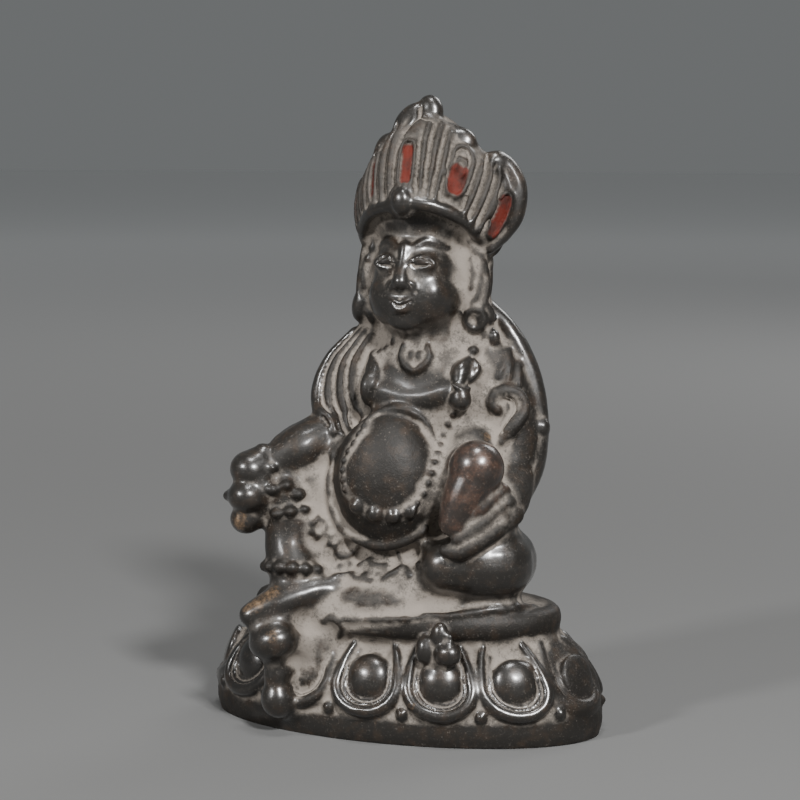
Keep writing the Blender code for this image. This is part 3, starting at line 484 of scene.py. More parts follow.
def trunk(clay):
    clay.ball((3.0, 1.0, 6.0), (15.5, 9.0, 8.0))
    clay.ball((3.0, 1.0, 17.0), (13.5, 8.2, 14.0))
    clay.ball((3.6, 0.8, 32.5), (12.5, 7.8, 10.5))
    clay.limb([(-5.5, 2.4, 38.0), (3.5, 2.0, 41.5), (12.5, 2.8, 38.0)], [4.4, 5.2, 4.4])
    clay.limb([(3.5, 1.0, 38.0), (3.2, 0.5, 46.0)], [6.4, 6.0])
    clay.coat = "polish"
    clay.limb([(-2.2, -4.8, 33.4), (3.8, -5.2, 32.4), (9.6, -4.6, 33.8)], [2.6, 2.4, 2.6])
    clay.coat = None
    clay.ball((0.0, -7.4, 19.6), (8.9, 7.3, 10.9))
    clay.ball((-9.5, -1.5, 18.0), (6.0, 5.5, 11.0))
    clay.ball((12.5, -3.5, 20.0), (5.5, 5.0, 9.0))


def belly(clay):
    """The rolled belt under the belly, the arc over it, and its beads."""
    belt = [(-8.7, -8.0, 24.0), (-8.9, -8.6, 19.5), (-8.1, -9.6, 14.6), (-5.6, -10.4, 11.2)]
    belt += [(-1.0, -11.2, 9.7), (3.6, -10.8, 10.2), (7.4, -9.2, 12.8)]
    clay.drape(belt, [0.3, 0.5, 0.8, 0.95, 1.0, 0.9, 0.5], 0.2)
    arc = [(-2.4, -10.0, 28.4), (-1.4, -8.4, 30.2), (1.9, -7.6, 31.0)]
    arc += [(4.8, -7.2, 30.2), (6.8, -6.8, 28.2), (7.9, -6.6, 25.6)]
    clay.drape(arc, [0.3, 0.5, 0.6, 0.6, 0.5, 0.35], 0.25)
    left = [(-2.6, -11.0, 28.6), (-3.4, -12.2, 26.4), (-4.9, -12.6, 23.8)]
    left += [(-5.4, -13.0, 21.4), (-4.8, -13.4, 18.8)]
    right = [(10.3, -5.6, 30.4), (8.8, -5.6, 27.6), (8.4, -7.2, 24.9), (8.5, -9.8, 22.3), (7.6, -11.2, 18.8)]
    clay.beads(left, 8, 0.5)
    clay.beads([*right, (6.6, -11.9, 17.2)], 10, 0.52)
    clay.coat = "polish"
    for place in ((-2.6, -13.9, 16.4), (0.4, -14.1, 15.4), (3.4, -13.6, 15.1), (5.7, -12.4, 15.9)):
        clay.knob(place, (1.25, 0.9, 1.15), 0.05)
    clay.coat = None


def lap(clay):
    """The cloth over the crossed legs, down over the front of the seat."""
    clay.ball((1.0, -5.0, 2.8), (12.0, 7.6, 5.0))
    clay.ball((-2.0, -8.2, 1.2), (10.0, 6.6, 3.6))
    clay.ball((-6.0, -9.3, -1.4), (8.6, 6.2, 4.0))
    clay.ball((-9.6, -10.8, -8.0), (4.2, 5.2, 8.0))
    clay.ball((-9.5, -6.5, 9.5), (4.5, 4.5, 6.0))


def crumples(clay):
    """The crumpled folds of the robe under the belly, its hem, and its edge over the seat."""
    folds = (
        ((-8.6, -9.6, 9.4), (-7.2, -9.8, 7.6), (-5.6, -8.8, 7.9), (-4.6, -9.2, 8.8)),
        ((-6.9, -12.0, 5.0), (-5.1, -10.8, 4.9), (-3.4, -11.6, 4.3), (-1.0, -12.0, 4.5)),
        ((-4.2, -9.6, 6.2), (-2.6, -9.3, 7.2), (-1.4, -9.6, 6.3), (0.5, -10.1, 6.6)),
        ((1.0, -11.6, 4.7), (2.3, -11.1, 5.6), (3.2, -10.8, 7.0)),
        ((3.0, -10.2, 8.4), (4.2, -10.6, 6.8), (5.0, -10.8, 5.2)),
        ((-7.9, -15.2, -2.0), (-6.2, -15.4, -1.2), (-4.8, -15.0, -2.4), (-5.6, -13.8, -4.3)),
    )
    for fold in folds:
        clay.drape(fold, [0.35, 0.55, 0.5, 0.35][: len(fold)], 0.15)
    lumps = [(-7.2, -10.1, 6.0), (-5.8, -9.6, 6.4), (-2.4, -12.0, 5.6)]
    for place in (*lumps, (4.6, -10.9, 9.2), (5.6, -11.3, 7.6)):
        clay.knob(place, (0.75, 0.7, 0.6), 0.0)
    hem = [(8.5, -13.4, 0.4), (12.5, -12.4, 0.6), (16.8, -10.2, 0.7)]
    hem += [(20.6, -6.6, 0.7), (22.4, -1.5, 0.5)]
    clay.drape(hem, [0.5, 0.7, 0.8, 0.7, 0.5], 0.1)
    edge = [(-7.5, -15.3, -1.6), (-3.3, -15.3, -1.3), (0.9, -15.0, -1.0)]
    edge += [(5.4, -14.4, -0.6), (8.5, -13.8, 0.0)]
    clay.drape(edge, [0.3, 0.5, 0.55, 0.5, 0.3], 0.1)


def rosettes(clay):
    """The two small flowers of the robe between the belly and the raised knee."""
    for x, y, z, radius, bumps in ((-10.2, -11.4, 12.2, 1.35, 7), (-7.9, -10.6, 10.2, 0.9, 5)):
        for step in range(bumps):
            round_it = 2 * math.pi * step / bumps
            place = (x + radius * math.cos(round_it), y, z + radius * math.sin(round_it))
            clay.knob(place, (0.6, 0.6, 0.6), 0.1)


def right_arm(clay):
    """The arm on -X, whose hand holds a fruit on the raised knee."""
    clay.limb([(-6.0, 2.4, 39.5), (-9.3, 1.6, 34.5), (-11.0, 0.2, 28.0)], [4.4, 5.0, 5.0])
    clay.coat = "polish"
    clay.limb([(-12.2, -5.0, 25.6), (-14.8, -8.0, 24.0), (-17.2, -10.0, 22.6)], [3.8, 3.9, 3.0])
    clay.limb([(-14.0, -2.0, 27.4), (-16.9, -5.4, 26.0), (-18.4, -8.6, 24.8)], [1.7, 1.7, 1.4])
    clay.coat = None
    clay.limb([(-10.6, -1.0, 26.6), (-14.4, -6.0, 24.0), (-18.2, -10.2, 22.0)], [4.6, 4.4, 3.2])
    clay.ball((-13.8, -6.5, 16.5), (5.0, 5.0, 7.0))
    clay.ball((-17.2, -10.4, 16.6), (4.2, 3.8, 4.6))


def fruit(clay):
    """The hand as three worn knuckles round the fruit, with its stalk, and a bumpy palm."""
    clay.coat = "polish"
    clay.limb([(-20.4, -12.2, 21.4), (-20.2, -12.8, 17.4), (-20.8, -12.4, 13.8)], [3.2, 3.2, 2.5])
    clay.ball((-21.2, -13.0, 21.0), (3.5, 3.5, 3.1), (0, 12, 0))
    clay.ball((-21.2, -14.0, 17.0), (3.4, 3.7, 2.9))
    clay.ball((-22.0, -13.2, 13.2), (2.6, 3.1, 2.5))
    clay.ball((-24.4, -14.8, 16.9), (1.0, 1.0, 0.9))
    clay.ball((-19.4, -11.8, 24.2), (1.5, 1.3, 0.9), (0, 20, 0))
    clay.coat = None
    for x, y, z, size in (
        (-17.1, -14.0, 18.2, 1.3),
        (-15.0, -13.2, 18.9, 1.1),
        (-13.4, -12.2, 17.4, 1.2),
        (-12.4, -12.2, 15.0, 1.0),
        (-14.2, -13.6, 14.8, 1.2),
        (-16.3, -14.2, 14.4, 1.1),
        (-17.6, -12.6, 21.6, 0.9),
    ):
        clay.knob((x, y, z), (size, size, size * 0.75), 0.1)


def left_arm(clay):
    """The arm on +X, whose hand holds the jewel mongoose over the folded leg."""
    upper = [(11.6, 3.2, 39.5), (14.8, 3.0, 34.5), (17.0, 2.2, 27.5), (17.2, 0.5, 20.5)]
    clay.limb(upper, [4.6, 5.2, 5.2, 4.8])
    clay.limb([(17.4, 0.0, 20.5), (18.6, -5.0, 17.5), (18.6, -8.0, 15.5)], [4.6, 4.0, 3.4])
    clay.ball((13.5, -7.5, 20.0), (4.5, 4.0, 6.0))


def left_fingers(clay):
    """The hand under the mongoose: a thumb and two worn fingers."""
    lowest = [(21.0, -7.6, 15.6), (18.0, -11.6, 12.6), (14.6, -13.8, 10.3), (12.2, -14.0, 10.4)]
    clay.limb(lowest, [1.7, 1.5, 1.3, 1.1])
    clay.limb([(20.4, -8.6, 17.6), (17.4, -12.2, 14.6), (14.2, -14.0, 12.2)], [1.3, 1.3, 1.1])
    clay.limb([(19.6, -8.8, 19.4), (17.6, -12.0, 17.2), (16.0, -13.2, 16.0)], [1.2, 1.2, 0.9])


def mongoose(clay):
    """A worn, pear-shaped body with its head down."""
    clay.coat = "copper"
    clay.ball((16.0, -10.8, 22.8), (4.4, 4.1, 4.5), (0, 18, 0))
    clay.limb([(15.8, -11.0, 21.6), (14.2, -12.4, 18.0), (13.3, -13.2, 15.0)], [3.9, 3.3, 2.5])
    clay.coat = None


def right_leg(clay):
    """The leg on -X, with its knee raised and its foot set down on the bud."""
    clay.limb([(-2.0, 3.0, 6.0), (-9.0, -2.5, 9.5), (-14.2, -7.5, 12.5)], [7.5, 7.0, 5.6])
    clay.coat = "polish"
    clay.limb([(-15.6, -10.4, 10.5), (-15.5, -11.4, 8.5), (-14.2, -12.4, 5.5)], [4.2, 3.9, 4.1])
    clay.coat = None
    clay.limb([(-15.6, -10.0, 12.5), (-15.5, -11.0, 9.5), (-14.2, -12.2, 4.5)], [4.6, 3.9, 4.1])
    clay.coat = "polish"
    foot = [(-7.6, -11.2, 2.9), (-11.2, -13.6, 2.3), (-15.3, -16.4, 0.9), (-18.9, -18.8, -1.1)]
    clay.strap(foot, [2.6, 3.0, 3.0, 2.1], [2.2, 2.5, 2.3, 1.8], (0, -0.3, 1))
    clay.coat = None


def anklet(clay):
    """A string of square beads round the ankle."""
    for step in range(11):
        round_it = math.radians(-100 + step * 27)
        x = -14.2 - math.sin(round_it) * 4.5
        centre = at(x, -11.9 - math.cos(round_it) * 4.5, 5.5 + 0.9 * math.cos(round_it))
        clay.ellipsoid(centre, (ANKLE_BEAD * 1.1, ANKLE_BEAD * 1.1, ANKLE_BEAD * 0.95))


def left_leg(clay):
    """The folded leg on +X, with its shin across the front of the seat."""
    clay.coat = "polish"
    clay.limb([(7.0, 3.0, 6.5), (13.5, 0.5, 7.2), (17.4, -3.2, 7.4)], [7.5, 6.5, 5.8])
    clay.limb([(17.5, -5.8, 7.4), (14.0, -7.8, 7.3), (10.6, -9.2, 7.0)], [6.0, 5.7, 4.4])
    clay.coat = None


# The middle of the face, how far out the eyes are, and places across an eye or the mouth
FACE_MIDDLE = 2.6
EYE_OUT = 3.4
ACROSS = (-1, -0.5, 0, 0.5, 1)


def head(clay):
    clay.coat = "polish"
    clay.ball((FACE_MIDDLE, -1.0, 51.5), (7.2, 7.4, 8.4))
    clay.ball((FACE_MIDDLE, -2.8, 48.4), (7.5, 6.2, 6.1))
    clay.coat = None


def cheeks(clay):
    clay.coat = "polish"
    clay.ball((FACE_MIDDLE, -6.6, 44.9), (3.0, 1.9, 1.9))
    for side in (-1, 1):
        clay.ball((FACE_MIDDLE + 3.6 * side, -5.0, 49.0), (3.0, 3.0, 3.2))
    clay.coat = None


def hair(clay):
    """The hair round the head, and down behind the ears to the shoulders."""
    clay.ball((3.3, 2.8, 52.0), (9.4, 7.0, 11.5))
    clay.ball((3.3, 4.4, 46.0), (8.6, 5.0, 8.0))
    clay.ball((3.4, 6.6, 64.0), (5.5, 3.6, 5.5))
    for side in (-1, 1):
        fall = [(3.0 + x * side, y, z) for x, y, z in ((8.2, 0.4, 55.0), (8.6, 0.2, 50.0), (9.6, 0.6, 45.0))]
        clay.limb(fall, [2.0, 2.2, 2.0])


def locks(clay):
    """Locks down the back of the head, on either side of the middle."""
    for step in range(11):
        x = -5.4 + step * 1.8
        depth = 9.0 - 0.11 * (x - 3.4) ** 2
        fall = [(x * 0.9 + 0.3, depth - 0.6, 58.0), (x + 0.4, depth, 52.0)]
        fall += [(x, depth, 47.0), (x * 1.05, depth, 42.5)]
        clay.drape(fall, [0.6, 0.8, 0.8, 0.5], 0.2)


def face(clay):
    """Full cheeks, long lidded eyes, a broad nose and a small mouth, by the usual proportions."""
    clay.coat = "polish"
    nose = [(FACE_MIDDLE, y, z) for y, z in ((-6.8, 56.4), (-7.7, 53.6), (-8.8, 51.0))]
    clay.limb(nose, [0.9, 1.0, 1.35])
    for side in (-1, 1):
        clay.ball((FACE_MIDDLE + 1.4 * side, -8.3, 50.5), (0.95, 1.0, 0.8))
        brow = [(FACE_MIDDLE + x * side, z) for x, z in ((0.9, 56.0), (3.2, 57.2), (6.0, 56.0))]
        clay.strand(brow, [0.5, 0.7, 0.4], -0.2)
        eye = FACE_MIDDLE + EYE_OUT * side
        clay.ball((eye, -6.8, 53.8), (2.0, 1.1, 1.1))
        lid = [(eye + x * 2.3 * side, 53.7 + 1.2 * (1 - x * x)) for x in ACROSS]
        clay.strand(lid, [0.15, 0.32, 0.34, 0.32, 0.15], 0.5)
    for z, wide, thick in ((47.8, 2.1, 0.55), (46.7, 1.6, 0.62)):
        lip = [(FACE_MIDDLE + wide * x, z + 0.25 * abs(x)) for x in ACROSS]
        clay.strand(lip, [0.15, thick * 0.9, thick, thick * 0.9, 0.15], 0.1)
    clay.coat = None
    for side in (-1, 1):
        eye = FACE_MIDDLE + EYE_OUT * side
        clay.groove([(eye + x * 2.2 * side, -9.0, 53.2 + 0.5 * x * x) for x in ACROSS], 0.22, 0.4)
        crease = [(eye + x * 2.5 * side, -9.0, 54.6 + 0.9 * (1 - x * x)) for x in (-1, 0, 1)]
        clay.groove(crease, 0.2, 0.3)
        for inner, outer, width, depth in (
            ((2.1, 51.4), (3.0, 49.6), 0.25, 0.25),
            ((1.9, 47.5), (2.6, 48.0), 0.25, 0.35),
        ):
            clay.groove([(FACE_MIDDLE + x * side, -10.0, z) for x, z in (inner, outer)], width, depth)
    mouth = [(FACE_MIDDLE + x * 2.2, -10.0, 47.2 + 0.58 * x * x) for x in ACROSS]
    clay.groove(mouth, 0.2, 0.45)
    clay.groove([(FACE_MIDDLE, -10.0, 49.6), (FACE_MIDDLE, -10.0, 48.7)], 0.3, 0.25)


def ears(clay):
    """Long ears behind the cheeks, and the round earring with its scroll and drop."""
    for side, x in ((-1, -6.6), (1, 11.9)):
        outer = [(x - 0.4 * side, -1.6, 56.6), (x + 0.9 * side, -1.2, 55.4), (x + 1.1 * side, -1.2, 52.0)]
        outer += [(x + 0.8 * side, -1.6, 48.6), (x, -2.0, 47.2)]
        clay.drape(outer, [0.4, 0.6, 0.6, 0.7, 0.6], 0.2)
        inner = [(x - 0.3 * side, -1.8, 54.6), (x + 0.1 * side, -1.8, 52.4), (x - 0.1 * side, -1.9, 49.6)]
        clay.drape(inner, [0.3, 0.4, 0.4], 0.15)
    clay.coat = "polish"
    clay.drape(circle((12.3, -1.4, 45.0), 1.45, 1.6), [0.6] * 13, 0.5)
    clay.drape([(13.3, -0.9, 47.4), (14.5, -0.4, 46.4), (14.7, -0.3, 44.6)], [0.3, 0.6, 0.4], 0.4)
    clay.knob((14.7, 0.5, 42.0), (1.05, 1.0, 1.4), 0.4)
    clay.knob((15.4, 0.8, 45.2), (0.5, 0.5, 0.8), 0.3)
    clay.ball((-7.4, -0.4, 46.8), (1.6, 2.0, 3.0), (0, 12, 0))
    clay.coat = None


# The crown's wall: points up each column from the band to the top, from its edge on -X, over
# the five leaves, to its edge on +X
CROWN = (
    ((-7.6, 3.6, 56.0), (-8.8, 4.0, 59.5), (-9.0, 4.4, 62.5), (-8.4, 5.0, 65.0)),
    ((-7.0, -1.6, 57.5), (-8.0, -0.6, 61.0), (-8.3, 1.0, 64.2), (-7.9, 2.8, 67.0)),
    ((-3.2, -5.8, 61.6), (-3.8, -4.6, 66.4), (-3.8, -2.4, 70.4), (-3.2, 0.6, 74.0)),
    ((3.1, -8.7, 63.2), (3.0, -7.4, 69.0), (2.9, -4.8, 74.4), (3.5, 0.2, 79.0)),
    ((9.6, -6.8, 62.2), (10.6, -4.8, 67.4), (10.9, -2.6, 71.2), (10.2, 0.2, 74.4)),
    ((14.0, -2.4, 57.2), (16.0, -1.2, 61.6), (16.9, 0.0, 65.8), (15.8, 2.2, 69.4)),
    ((14.6, 2.6, 54.6), (17.4, 2.2, 59.0), (18.6, 2.6, 63.6), (17.4, 3.6, 67.6)),
)
CROWN_THICKNESS = 2.2
# How far the notch between two leaves comes down, from the edge on -X to the edge on +X
NOTCHES = (0.25, 0.22, 0.13, 0.17, 0.14, 0.12)
BAND = (
    (-7.0, 1.8, 55.5),
    (-6.8, -1.4, 58.2),
    (-3.6, -5.8, 61.5),
    (2.6, -9.0, 63.0),
    (7.6, -8.0, 62.7),
    (11.8, -4.8, 60.2),
    (13.6, 0.5, 55.5),
)


def crown_point(side, rise, out=0.0):
    """A point of the crown's wall: side counts its columns, and rise goes from 0 up to 1."""
    columns = [along([Vector(point) for point in column], rise * 3) for column in CROWN]
    point = along(columns, side)
    outward = Vector((point.x - 3.3, point.y - 8.0, 3.0)).normalized()
    return point + outward * out


def crown_wall(clay):
    """The wall of leaves, leaning back, with a notch between each two."""
    loops = []
    for step in range(73):
        side = step / 12
        notch = NOTCHES[min(int(side), 5)]
        top = 1 - notch * (1 - abs(math.cos(math.pi * side))) ** 1.5
        rises = [top * row / 11 for row in range(12)]
        ring = [crown_point(side, rise) for rise in rises]
        ring += [crown_point(side, rise, -CROWN_THICKNESS) for rise in reversed(rises)]
        loops.append([at(*point) for point in ring])
    clay.rings(loops)


def crown_core(clay):
    clay.ball((3.3, 0.2, 61.0), (8.6, 6.6, 7.0))
    clay.ball((4.0, 2.4, 65.0), (11.0, 4.6, 9.0))
    clay.ball((3.6, 2.0, 70.5), (6.4, 3.2, 6.6))


# The inlay of each leaf: its column, where it starts and ends up the leaf, half its width in
# columns, and how straight its sides are
INLAYS = (
    (1.18, 0.04, 0.66, 0.12, 0.6),
    (2.07, 0.06, 0.64, 0.13, 0.6),
    (3.02, 0.08, 0.56, 0.17, 0.5),
    (4.0, 0.12, 0.70, 0.23, 0.8),
    (5.06, 0.06, 0.58, 0.2, 0.9),
)
# The inlay whose upper half has lost its paint, where the pale dust left bare also stands in for a sheen, as
# a painted highlight
FADED_SHEEN_INLAY = 4.0
PAINTED_PARTS = (-0.36, 0.36)
# Ribs between the leaves: the column and the height that each starts and ends at
RIBS = (
    (1.5, 0.08, 1.6, 0.72),
    (1.72, 0.06, 1.82, 0.8),
    (2.38, 0.06, 2.4, 0.84),
    (2.62, 0.06, 2.66, 0.86),
    (3.36, 0.04, 3.3, 0.78),
    (3.52, 0.04, 3.5, 0.86),
    (3.68, 0.06, 3.68, 0.8),
    (4.36, 0.06, 4.36, 0.7),
    (4.56, 0.04, 4.56, 0.84),
    (4.76, 0.04, 4.76, 0.86),
)
SLITS = (
    (1.4, 0.1, 1.46, 0.7),
    (1.61, 0.06, 1.72, 0.76),
    (1.86, 0.06, 1.93, 0.74),
    (2.27, 0.06, 2.27, 0.74),
    (2.5, 0.06, 2.54, 0.84),
    (2.76, 0.06, 2.8, 0.62),
    (3.27, 0.06, 3.22, 0.66),
    (3.44, 0.1, 3.38, 0.8),
    (3.6, 0.04, 3.6, 0.84),
    (3.76, 0.06, 3.76, 0.66),
    (4.28, 0.06, 4.28, 0.6),
    (4.46, 0.02, 4.46, 0.84),
    (4.66, 0.04, 4.66, 0.8),
    (4.84, 0.06, 4.86, 0.7),
)


def up_the_wall(low_column, low, high_column, high, out):
    """Four points up the crown's wall."""
    lean, rise = high_column - low_column, high - low
    return [crown_point(low_column + lean * t, low + rise * t, out) for t in (0, 0.33, 0.67, 1)]


def inlay_rim(column, low, high, half, square):
    """Points round an inlay, up one side, over its top and down the other."""
    points = []
    for step in range(13):
        round_it = math.radians(-75 + step * 27.5)
        across = math.copysign(abs(math.cos(round_it)) ** square, math.cos(round_it))
        rise = (low + high) / 2 + (high - low) / 2 * math.sin(round_it)
        points.append(crown_point(column + half * across, rise, 0.4))
    return points


# The lobes that the leaves end in: the middle, the radii and the turn of each
LOBES = (
    ((1.3, -1.4, 75.6), (2.3, 1.6, 3.6), (-18, 34, 0)),
    ((0.3, -2.4, 74.2), (1.2, 1.0, 1.9), (-18, 20, 0)),
    ((4.2, 0.0, 77.5), (2.1, 1.7, 2.5), (-10, -20, 0)),
    ((9.5, -0.6, 73.0), (2.8, 1.5, 1.9), (-18, 24, 0)),
    ((11.2, -1.4, 70.6), (1.1, 1.0, 1.7), (-18, -20, 0)),
    ((-3.5, -0.8, 71.8), (1.3, 1.2, 2.4), (-18, 24, 0)),
    ((-7.9, 1.4, 65.6), (1.0, 1.0, 1.9), (-18, 16, 0)),
    ((14.6, 1.0, 69.6), (1.9, 1.3, 1.6), (-14, 20, 0)),
)


def crown(clay):
    """The leaves' red inlays in their rims, the ribs between them, their lobes, and the band."""
    for column, low, high, half, square in INLAYS:
        clay.limb(inlay_rim(column, low, high, half, square), [0.45] * 13)
        clay.groove(inlay_rim(column, low + 0.03, high - 0.03, half * 0.6, square), 0.22, 0.45)
        # One inlay is painted only on its lower half; the pale dust above it is partly a painted sheen
        painted = 0.5 if column == FADED_SHEEN_INLAY else 1.0
        for step in range(9):
            rise = low + 0.06 + (high - low - 0.12) * painted * step / 8
            inlaid = [crown_point(column + half * part, rise, 0.1) for part in PAINTED_PARTS]
            clay.coat_strip("red", inlaid, [half * 3.2] * 2, 1)
    for rib in RIBS:
        clay.limb(up_the_wall(*rib, 0.35), [0.45, 0.6, 0.55, 0.3])
    for slit in SLITS:
        clay.groove(up_the_wall(*slit, 0.0), 0.3, 0.95)
    clay.coat = "polish"
    for middle, radii, turn in LOBES:
        clay.ball(middle, radii, turn)
    edge = [(4.8, 0.99), (5.2, 0.96), (5.7, 0.75), (5.8, 0.45), (5.64, 0.2), (5.4, 0.0)]
    clay.limb([crown_point(*place) for place in edge], [1.2, 1.5, 1.5, 1.4, 1.1, 0.8])
    clay.limb(BAND, [0.8, 0.9, 0.95, 1.0, 1.1, 1.0, 0.8])
    clay.ball((3.1, -9.5, 63.4), (1.7, 1.3, 2.1))
    shaded = [crown_point(column, rise) for column, rise in ((4.9, 0.86), (5.4, 0.74), (5.6, 0.4))]
    clay.coat_strip("dark", shaded, [1.5] * 3)
    clay.coat = None
    clay.groove([(1.6, -3.4, 72.6), (2.3, -3.4, 74.6), (3.2, -2.6, 76.6), (3.2, -2.0, 78.4)], 0.3, 0.8)
    clay.groove([(3.2, -2.6, 76.6), (4.4, -2.2, 75.4), (5.6, -2.4, 75.0)], 0.3, 0.7)
    clay.groove([(7.6, -2.0, 74.2), (7.0, -2.8, 72.0), (7.4, -3.4, 70.4)], 0.3, 0.7)
    clay.drape(circle((10.8, -4.0, 68.6), 1.3, 1.3, 9, 200, -35), [0.5] * 9)
    clay.limb(circle((3.1, -8.9, 63.4), 2.3, 2.6), [0.4] * 13)


def scarf(clay):
    """The celestial scarf: folds over the arm on -X, a band and a curl over the arm on +X."""
    clay.coat = "polish"
    outer = [(-8.4, 0.6, 42.0), (-12.4, -0.8, 37.4), (-13.8, -2.2, 33.0)]
    outer += [(-12.8, -4.4, 29.4), (-9.8, -6.8, 26.2)]
    clay.drape(outer, [0.8, 1.3, 1.5, 1.2, 0.5], 0.3)
    clay.coat = None
    folds = (
        (
            (-7.4, -0.6, 42.4), (-11.0, -2.2, 37.8), (-11.8, -3.6, 33.4), (-10.6, -5.2, 29.4),
            (-8.4, -6.8, 26.6),
        ),
        ((-6.4, -1.0, 42.4), (-9.2, -2.6, 37.8), (-9.6, -3.8, 33.2), (-8.4, -4.6, 29.2), (-6.8, -6.4, 27.2)),
        ((-5.4, -1.6, 42.0), (-7.4, -2.6, 38.2), (-7.8, -3.4, 34.2), (-7.0, -4.2, 30.8), (-5.6, -6.0, 28.4)),
    )
    for fold in folds:
        clay.drape(fold, [0.5, 0.8, 0.85, 0.75, 0.4], 0.25)
    clay.coat = "polish"
    outer = [(11.5, 4.0, 47.5), (15.4, 3.8, 43.8), (18.0, 4.0, 39.6), (20.1, 3.8, 34.6)]
    outer += [(21.4, 3.0, 28.6), (21.3, 1.4, 22.0), (19.9, -1.0, 16.5)]
    clay.limb(outer, [1.2, 1.5, 1.8, 1.8, 1.7, 1.7, 1.3])
    clay.ball((22.2, 2.2, 28.0), (1.4, 1.4, 1.6))
    clay.coat = None
    curl = [(16.6, -2.5, 31.0), (15.7, -2.6, 31.8), (15.9, -2.4, 33.2), (17.3, -1.9, 33.9)]
    curl += [(19.0, -1.0, 33.2), (19.7, -0.9, 31.4), (19.4, -1.6, 29.6)]
    curl += [(18.3, -2.8, 27.6), (17.2, -3.6, 26.0)]
    widths = [0.8, 0.9, 1.0, 1.1, 1.3, 1.4, 1.3, 1.1, 0.7]
    clay.ribbon(curl, widths, [0.8, *[0.9] * 6, 0.8, 0.5], 0.35)
    for shift in (-0.45, 0.35):
        line = [(17.4 + shift * 0.3, -1.9, 33.6 + shift), (18.6 + shift * 0.8, -1.3, 32.6 + shift * 0.6)]
        line += [(19.1 + shift, -1.4, 31.0), (18.6 + shift, -2.1, 29.2), (17.6 + shift * 0.8, -3.2, 27.2)]
        clay.groove(line, 0.22, 0.45)
    pleats = (
        ((17.6, 1.6, 41.6), (16.9, 0.0, 38.8), (16.2, -1.4, 36.0)),
        ((17.8, 1.6, 41.4), (17.8, 0.2, 38.6), (17.5, -0.9, 35.6)),
        ((19.0, 2.2, 39.6), (19.2, 0.8, 37.2), (19.4, -0.2, 34.8)),
    )
    for pleat in pleats:
        clay.drape(pleat, [0.15, 0.34, 0.3], 0.12)
    creases = (
        (
            (-8.2, 0.0, 42.2), (-11.8, -1.4, 37.6), (-12.8, -2.8, 33.2),
            (-11.8, -4.8, 29.4), (-9.2, -6.8, 26.4),
        ),
        (
            (-7.0, -0.8, 42.4), (-10.2, -2.4, 37.8), (-10.8, -3.6, 33.4),
            (-9.6, -4.8, 29.4), (-7.6, -6.6, 26.8),
        ),
        ((-6.0, -1.2, 42.2), (-8.4, -2.6, 38.0), (-8.8, -3.6, 33.8), (-7.8, -4.4, 30.2), (-6.2, -6.2, 27.8)),
    )
    for crease in creases:
        clay.groove(crease, 0.3, 0.5)


def back_of_scarf(clay):
    """Plain swags of the scarf and the robe across the back."""
    for drop in range(4):
        swag = []
        for step in range(5):
            across = step / 2 - 1
            low = 36.0 - drop * 7.5 - 3.6 * (1 - across * across)
            swag.append((3.0 + across * (12.5 + drop), 9.0 - 3.4 * across * across, low))
        clay.drape(swag, [0.6, 1.0, 1.1, 1.0, 0.6], 0.2)


def ornaments(clay):
    """The pendant at the throat, and the buds on either side that the belly's strands hang from."""
    left = [(1.9, -5.2, 40.7), (1.6, -5.2, 39.2), (2.2, -5.7, 37.9), (3.8, -6.3, 36.9)]
    right = [(5.6, -5.0, 40.7), (6.0, -5.1, 39.2), (5.5, -5.8, 37.8), (4.0, -6.3, 36.9)]
    for side in (left, right):
        clay.drape(side, [0.5, 0.7, 0.7, 0.5])
    for place in ((3.2, -5.6, 38.9), (4.5, -5.5, 38.9)):
        clay.knob(place, (0.6, 0.6, 1.3), 0.3)
    clay.coat = "polish"
    bud = [(-4.6, -3.6, 38.2), (-3.9, -5.0, 36.4), (-3.2, -6.0, 34.4), (-3.6, -6.6, 32.0)]
    clay.drape(bud, [0.5, 1.1, 1.3, 0.8], 0.3)
    clay.coat = None
    stem = [(-4.8, -3.2, 38.9), (-3.2, -4.8, 37.5), (-2.5, -5.8, 35.6), (-2.5, -6.6, 34.0)]
    clay.drape(stem, [0.4, 0.45, 0.5, 0.3], 0.5)
    clay.knob((-4.6, -2.9, 39.2), (0.6, 0.6, 0.6))
    clay.knob((12.1, -1.8, 40.0), (0.8, 0.8, 0.8), 0.4)
    clay.coat = "polish"
    clay.drape([(11.6, -3.2, 38.4), (11.0, -4.4, 36.9), (10.9, -5.4, 35.4)], [0.8, 1.5, 1.2], 0.3)
    clay.drape([(12.6, -2.6, 38.4), (13.0, -3.0, 37.0), (12.4, -4.4, 35.6)], [0.4, 0.8, 0.5], 0.7)
    clay.knob((11.6, -6.2, 32.9), (1.8, 1.6, 1.95), 0.4)
    clay.coat = None
    clay.drape([(10.0, -5.8, 34.5), (11.2, -6.0, 34.2), (12.6, -5.2, 34.5)], [0.3, 0.35, 0.3], 1.2)
    for place in ((-3.6, -4.0, 40.2), (-2.4, -4.2, 40.8), (-1.0, -4.4, 41.2)):
        clay.knob(place, (0.55, 0.5, 0.45), 0.1)


